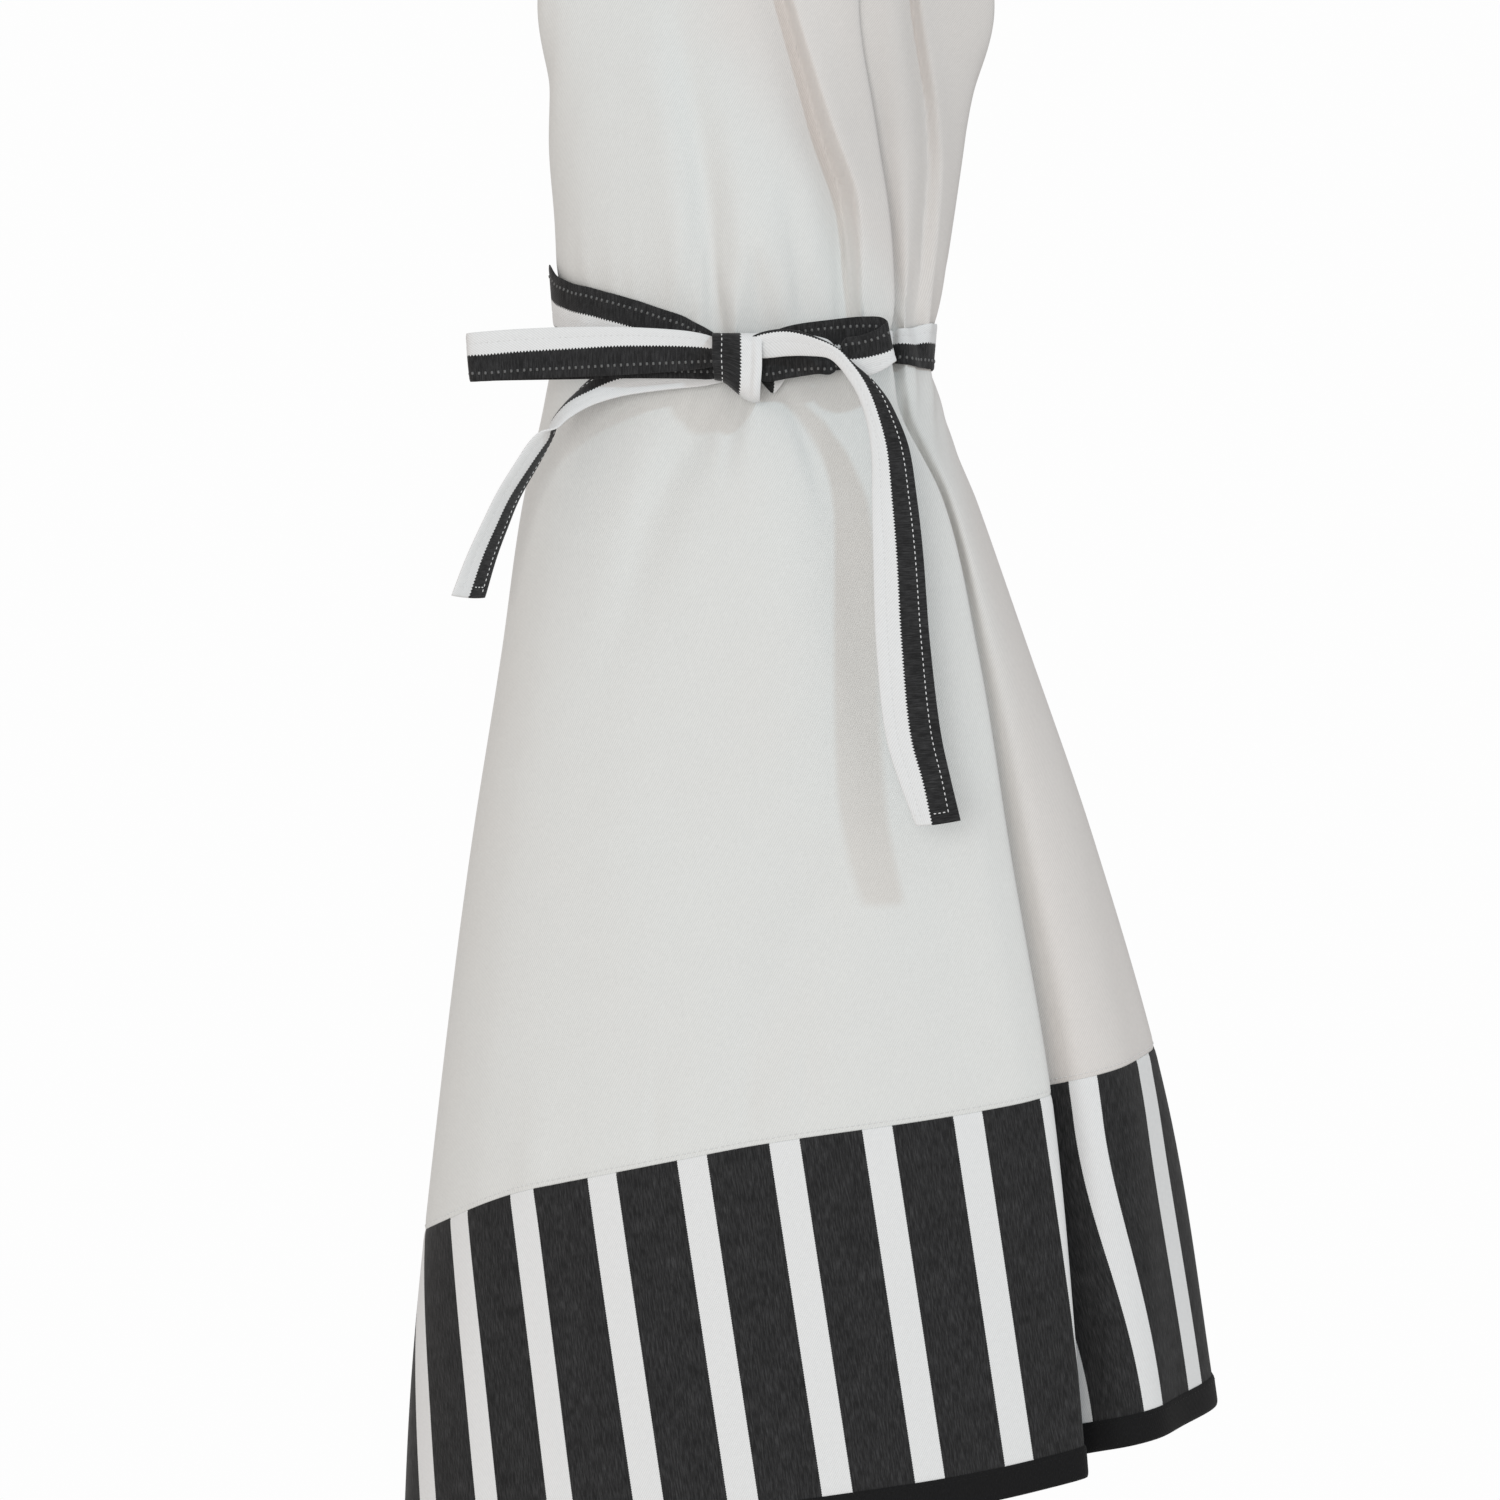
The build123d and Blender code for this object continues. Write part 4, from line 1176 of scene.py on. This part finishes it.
# Lights: name, place, target, size, power, colour.
LIGHTS = (
    ("Key", (1.40, -1.80, 1.20), (0.0, -0.12, -0.75), 0.22, 12.5, (0.70, 0.99, 1.16)),
    ("Fill", (-0.65, -3.8, -0.60), (0.0, -0.12, -0.75), 1.8, 42.0, (0.985, 0.985, 0.975)),
    ("Rear", (-0.5, 1.9, 0.35), (0.0, -0.05, -0.65), 1.4, 11.0, (1.0, 1.0, 1.0)),
)
ROOM_LIGHT = 0.58
ROOM_TINT = (1.0, 0.948, 0.918, 1)
ROOM_SEEN = (0.985, 0.985, 0.985, 1)
FLOOR_PLACE = (0, 0, -1.42)
FLOOR_RADIUS = 1.15


def add_light(name, place, target, size, power, colour):
    """A round soft light aimed at a target."""
    light = bpy.data.lights.new(name, "AREA")
    light.shape = "DISK"
    light.size = size
    light.energy = power
    light.color = colour
    holder = bpy.data.objects.new(name, light)
    holder.location = place
    aim = Vector(target) - Vector(place)
    holder.rotation_euler = aim.to_track_quat("-Z", "Y").to_euler()
    bpy.context.scene.collection.objects.link(holder)


def add_camera():
    """A long lens square on to the front."""
    camera = bpy.data.cameras.new("Camera")
    camera.lens = 150.0
    camera.sensor_width = 36.0
    holder = bpy.data.objects.new("Camera", camera)
    holder.location = CAMERA_PLACE
    holder.rotation_euler = (radians(90), 0, 0)
    bpy.context.scene.collection.objects.link(holder)
    bpy.context.scene.camera = holder


def add_room():
    """Pale surroundings that light the cloth softly, and are seen a little brighter."""
    world = bpy.data.worlds.new("Pale room")
    world.use_nodes = True
    tree = world.node_tree
    lit = tree.nodes["Background"]
    lit.inputs["Color"].default_value = ROOM_TINT
    lit.inputs["Strength"].default_value = ROOM_LIGHT
    seen = place_node(tree, "Background", inputs={"Color": ROOM_SEEN})
    path = place_node(tree, "LightPath")
    mix = place_node(tree, "MixShader", inputs={
        0: path.outputs["Is Camera Ray"], 1: lit.outputs[0], 2: seen.outputs[0]})
    tree.links.new(mix.outputs[0], tree.nodes["World Output"].inputs["Surface"])
    bpy.context.scene.world = world


def add_floor():
    """A pale round floor below the apron."""
    floor = bpy.data.meshes.new("Floor")
    maker = bmesh.new()
    bmesh.ops.create_circle(maker, cap_ends=True, segments=96, radius=FLOOR_RADIUS)
    maker.to_mesh(floor)
    maker.free()
    floor.materials.append(finish("Pale floor"))
    disc = bpy.data.objects.new("Floor", floor)
    disc.location = FLOOR_PLACE
    bpy.context.scene.collection.objects.link(disc)


class APRON_OT_stage(bpy.types.Operator):
    """Camera, soft studio lights, pale surroundings and floor"""
    bl_idname = "apron.stage"
    bl_label = "Stage"

    def execute(self, context):
        context.scene.view_settings.view_transform = "Standard"
        add_camera()
        for light in LIGHTS:
            add_light(*light)
        add_room()
        add_floor()
        return {"FINISHED"}


# Rows of points down the panel, the band and the binding. The panel narrows to the bib and the band tapers a
# little.
PANEL_ROWS, BAND_ROWS, BINDING_ROWS = 340, 96, 14
HEM_SWELL = 1.6             # how much thicker the turned hems are
SEAM_SWELL = 0.9            # and the seam of the band
BINDING_LAYERS = 4.0        # the binding's thickness against the cloth's
BINDING_GAP = 0.0015        # from the band's end up to the binding's upper edge
HEM_STITCH_INSET = 0.0018   # from a hem's inner edge to its stitches
HEM_THREAD, SEAM_THREAD = 0.00024, 0.00022
BINDING_STITCH_ROW = 2
SEAM_STITCHES = (-0.0026, -0.0030)  # the narrow strip above the seam that carries the panel's last stitches


def hem_thickness(distance):
    """How much thicker the cloth is, at a distance in from its side or top edge."""
    hem = sizes().hem_width
    return 1 + HEM_SWELL * (1 - smooth_step(hem - 0.0015, hem + 0.0005, distance))


def cloth_piece(name, points, grain, thickness, material, slot, *nodes):
    """A sheet of the hanging cloth, which stands for the given nodes."""
    piece = sheet_mesh(name, points, grain, sizes().cloth_thickness * thickness)
    finish_piece(piece, material)
    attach(piece, "apron")
    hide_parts(*nodes)
    return piece


def cloth_stitches(name, rows, material):
    """One piece from all rows of stitches that share a thread."""
    piece = new_piece(name, *merge(rows))
    finish_piece(piece, material)
    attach(piece, "apron")
    return piece


def both_faces(points, normals, radius, lift):
    """The same row of stitches on both faces of the cloth, lifted by a share of its thickness."""
    lift = sizes().cloth_thickness * lift
    return [stitch_line(points, normals * face, radius, lift, sizes().stitch_length) for face in (1, -1)]


class APRON_OT_cloth(bpy.types.Operator):
    """Apron cloth, striped band, hem binding and their stitching"""
    bl_idname = "apron.cloth"
    bl_label = "Cloth"

    def execute(self, context):
        step = np.linalg.norm(np.diff(CLOTH[ROWS // 2], axis=0), axis=1)
        side_run = np.concatenate([[0], np.cumsum(step)])
        side_hem = hem_thickness(np.minimum(side_run, side_run[-1] - side_run))[None, :]

        points, normals, grain = patch(
            lambda c: BIB_TOP, lambda c: seam_height(c, 0), PANEL_ROWS, sewn_bottom=True)
        down = BIB_TOP - points[..., 2]
        panel = cloth_piece("apron_panel", points, grain, np.maximum(side_hem, hem_thickness(down)),
                            "White twill", "white_twill", "bib", "skirt_front", "skirt_flap")

        band_points, _, band_grain = patch(
            lambda c: seam_height(c, 0), lambda c: seam_height(c, BAND_DROP), BAND_ROWS, sewn_top=True)
        seam = 1 + SEAM_SWELL * bell(np.arange(len(band_points)) / len(band_points), 0.025)[:, None]
        strip = cloth_piece("striped_band", band_points, band_grain, np.maximum(side_hem, seam),
                            "Striped twill", "striped_twill", "striped_band_front", "striped_band_flap")

        edge_points, edge_normals, edge_grain = patch(
            lambda c: seam_height(c, BAND_DROP) + BINDING_GAP,
            lambda c: seam_height(c, BAND_DROP + sizes().binding_height), BINDING_ROWS)
        share = np.linspace(0, 1, len(edge_points))
        rounded = 0.55 + 0.45 * np.sqrt(np.clip(np.minimum(share, 1 - share) / 0.14, 0, 1))
        edge = cloth_piece("hem_binding", edge_points, edge_grain, BINDING_LAYERS * rounded[:, None],
                           "Black binding", "black_binding", "hem_binding_front", "hem_binding_flap")

        inset = sizes().hem_width - HEM_STITCH_INSET
        white = []
        for column in np.searchsorted(side_run, (inset, side_run[-1] - inset)):
            white += both_faces(points[:, column], normals[:, column], HEM_THREAD, 1.15)
        row = int(np.argmax(down[:, COLUMNS // 2] > inset))
        white += both_faces(points[row], normals[row], HEM_THREAD, 1.15)
        seam_points, seam_normals, _ = patch(
            lambda c: seam_height(c, SEAM_STITCHES[0]), lambda c: seam_height(c, SEAM_STITCHES[1]), 1)
        white += both_faces(seam_points[0], seam_normals[0], SEAM_THREAD, 0.45)
        dark = both_faces(edge_points[BINDING_STITCH_ROW], edge_normals[BINDING_STITCH_ROW], HEM_THREAD, 1.9)
        panel_stitches = cloth_stitches("panel_stitching", white, "White thread")
        binding_stitches = cloth_stitches("binding_stitching", dark, "Black thread")

        return {"FINISHED"}


END_STITCH_BACK = 6         # rows of points back from a tape's end to the stitches across it


def add_tape(name, surfaces, stitched, nodes, placing, end=False, heavy=True):
    """A tape with topstitching on its charcoal and its white half; placing puts a piece on its body."""
    tape = make_tape(name, surfaces)
    finish_piece(tape, "Two-tone tape")
    pitch = sizes().stitch_length
    dark_half, white_half = [], []
    for points in stitched:
        if heavy:
            dark_half += tape_stitches(points, DARK_STITCH, sizes().heavy_stitch_length, HEAVY_STITCH)
        else:
            dark_half += tape_stitches(points, DARK_STITCH, pitch, PLAIN_STITCH)
        white_half += tape_stitches(points, WHITE_STITCH, pitch, EDGE_STITCH)
    if end:
        dark_half += end_stitches(surfaces[0], END_STITCH_BACK, 0.50, 0.86, 0.00030)
        white_half += end_stitches(surfaces[0], END_STITCH_BACK, 0.05, 0.44, 0.00024)
    pieces = [tape]
    bold = "Grey thread" if heavy else "White thread"
    for rows, thread, label in (
            (dark_half, bold, "_stitching"), (white_half, "White thread", "_edge_stitching")):
        stitches = new_piece(name + label, *merge(rows))
        finish_piece(stitches, thread)
        pieces.append(stitches)
    for piece in pieces:
        placing(piece)
    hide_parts(*nodes)


class APRON_OT_neck_strap(bpy.types.Operator):
    """Neck strap over the rod of the hook"""
    bl_idname = "apron.neck_strap"
    bl_label = "Neck strap"

    def execute(self, context):
        surface = strap_surface()

        def placing(piece):
            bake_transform(piece)

        add_tape("neck_strap", [surface], [surface],
                 ("neck_strap_crown", "neck_strap_left", "neck_strap_right"), placing)
        return {"FINISHED"}


class APRON_OT_waist_ties(bpy.types.Operator):
    """The two ties laid round the waist"""
    bl_idname = "apron.waist_ties"
    bl_label = "Waist ties"

    def execute(self, context):
        row = int(np.argmin(np.abs(HEIGHTS - TIE_HEIGHT)))
        front = int(np.argmax(CLOTH[row, :FRONT_COLUMNS, 0] > KNOT.x))
        left = wrap_surface(range(front, TIE_TUCK, -1), LEFT_TIE_TOP, LEFT_TIE_LOW, False)
        right = wrap_surface(range(front, COLUMNS - TIE_TUCK), RIGHT_TIE_TOP, RIGHT_TIE_LOW, True)

        for name, node, surface in (("waist_tie_left_tape", "waist_tie_left", left),
                                    ("waist_tie_right_tape", "waist_tie_right", right)):
            add_tape(name, [surface], [surface], (node,), lambda piece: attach(piece, "apron"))
        return {"FINISHED"}


class APRON_OT_bow(bpy.types.Operator):
    """Knot, two loops and two hanging tails"""
    bl_idname = "apron.bow"
    bl_label = "Bow"

    def execute(self, context):
        knot = knot_surface()
        under = tape_surface(UNDER_KNOT)
        add_tape("bow_knot_tape", [knot, under], [knot], ("bow_knot",), lambda piece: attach(piece, "apron"),
                 heavy=False)

        def bend():
            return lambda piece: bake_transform(piece)

        loops = (
            ("bow_loop_left_tape", LEFT_LOOP, "bow_loop_left", "bow_left",
             (-0.0225, -0.1146, -0.553), (-0.034, -0.1146, -0.553)),
            ("bow_loop_right_tape", RIGHT_LOOP, "bow_loop_right", "bow_right",
             (0.0015, -0.1147, -0.551), (0.013, -0.1147, -0.551)),
        )
        for name, stations, node, body, start, end in loops:
            surface = tape_surface(stations)
            add_tape(name, [surface], [surface], (node,), bend())
        tails = (
            ("tie_tail_left_tape", LEFT_TAIL, "tie_tail_left", "tail_left",
             (-0.0235, -0.1151, -0.5665), (-0.050, -0.1151, -0.5745)),
            ("tie_tail_right_tape", RIGHT_TAIL, "tie_tail_right", "tail_right",
             (0.0025, -0.1266, -0.547), (0.020, -0.1266, -0.5505)),
        )
        for name, stations, node, body, start, end in tails:
            surface = tape_surface(stations)
            add_tape(name, [surface], [surface], (node,), bend(),
                     end=True, heavy=False)
        return {"FINISHED"}


class APRON_OT_hook(bpy.types.Operator):
    """Brushed steel on the wall hook"""
    bl_idname = "apron.hook"
    bl_label = "Hook"

    def execute(self, context):
        finishes = {"hook_plate": "Brushed steel", "hook_collar": "Turned steel", "hook_arm": "Turned steel",
                    "hook_knob": "Turned steel", "wall_screws": "Screw steel"}
        for name, steel in finishes.items():
            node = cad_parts[name]
            node.data.materials.clear()
            node.data.materials.append(finish(steel))
        return {"FINISHED"}


class APRON_PT_panel(bpy.types.Panel):
    """Sizes, colours and the steps that build the apron"""
    bl_idname = "APRON_PT_panel"
    bl_label = "Apron on a hook"
    bl_space_type = "VIEW_3D"
    bl_region_type = "UI"
    bl_category = "Apron"

    def draw(self, context):
        layout = self.layout
        for group in (context.scene.apron_sizes, context.scene.apron_colours):
            column = layout.column(align=True)
            for name in group.bl_rna.properties.keys():
                if name not in ("rna_type", "name"):
                    column.prop(group, name)
        for step in STEPS:
            layout.operator(step.bl_idname)


STEPS = (
    APRON_OT_stage, APRON_OT_cloth, APRON_OT_neck_strap, APRON_OT_waist_ties, APRON_OT_bow, APRON_OT_hook)
CLASSES = (ApronSizes, ApronColours, *STEPS, APRON_PT_panel)


def register():
    for kind in CLASSES:
        bpy.utils.register_class(kind)
    bpy.types.Scene.apron_sizes = bpy.props.PointerProperty(type=ApronSizes)
    bpy.types.Scene.apron_colours = bpy.props.PointerProperty(type=ApronColours)


def unregister():
    del bpy.types.Scene.apron_colours
    del bpy.types.Scene.apron_sizes
    for kind in reversed(CLASSES):
        bpy.utils.unregister_class(kind)


def main():
    register()
    bpy.ops.apron.stage()
    bpy.ops.apron.cloth()
    bpy.ops.apron.neck_strap()
    bpy.ops.apron.waist_ties()
    bpy.ops.apron.bow()
    bpy.ops.apron.hook()


if __name__ == "__main__":
    main()
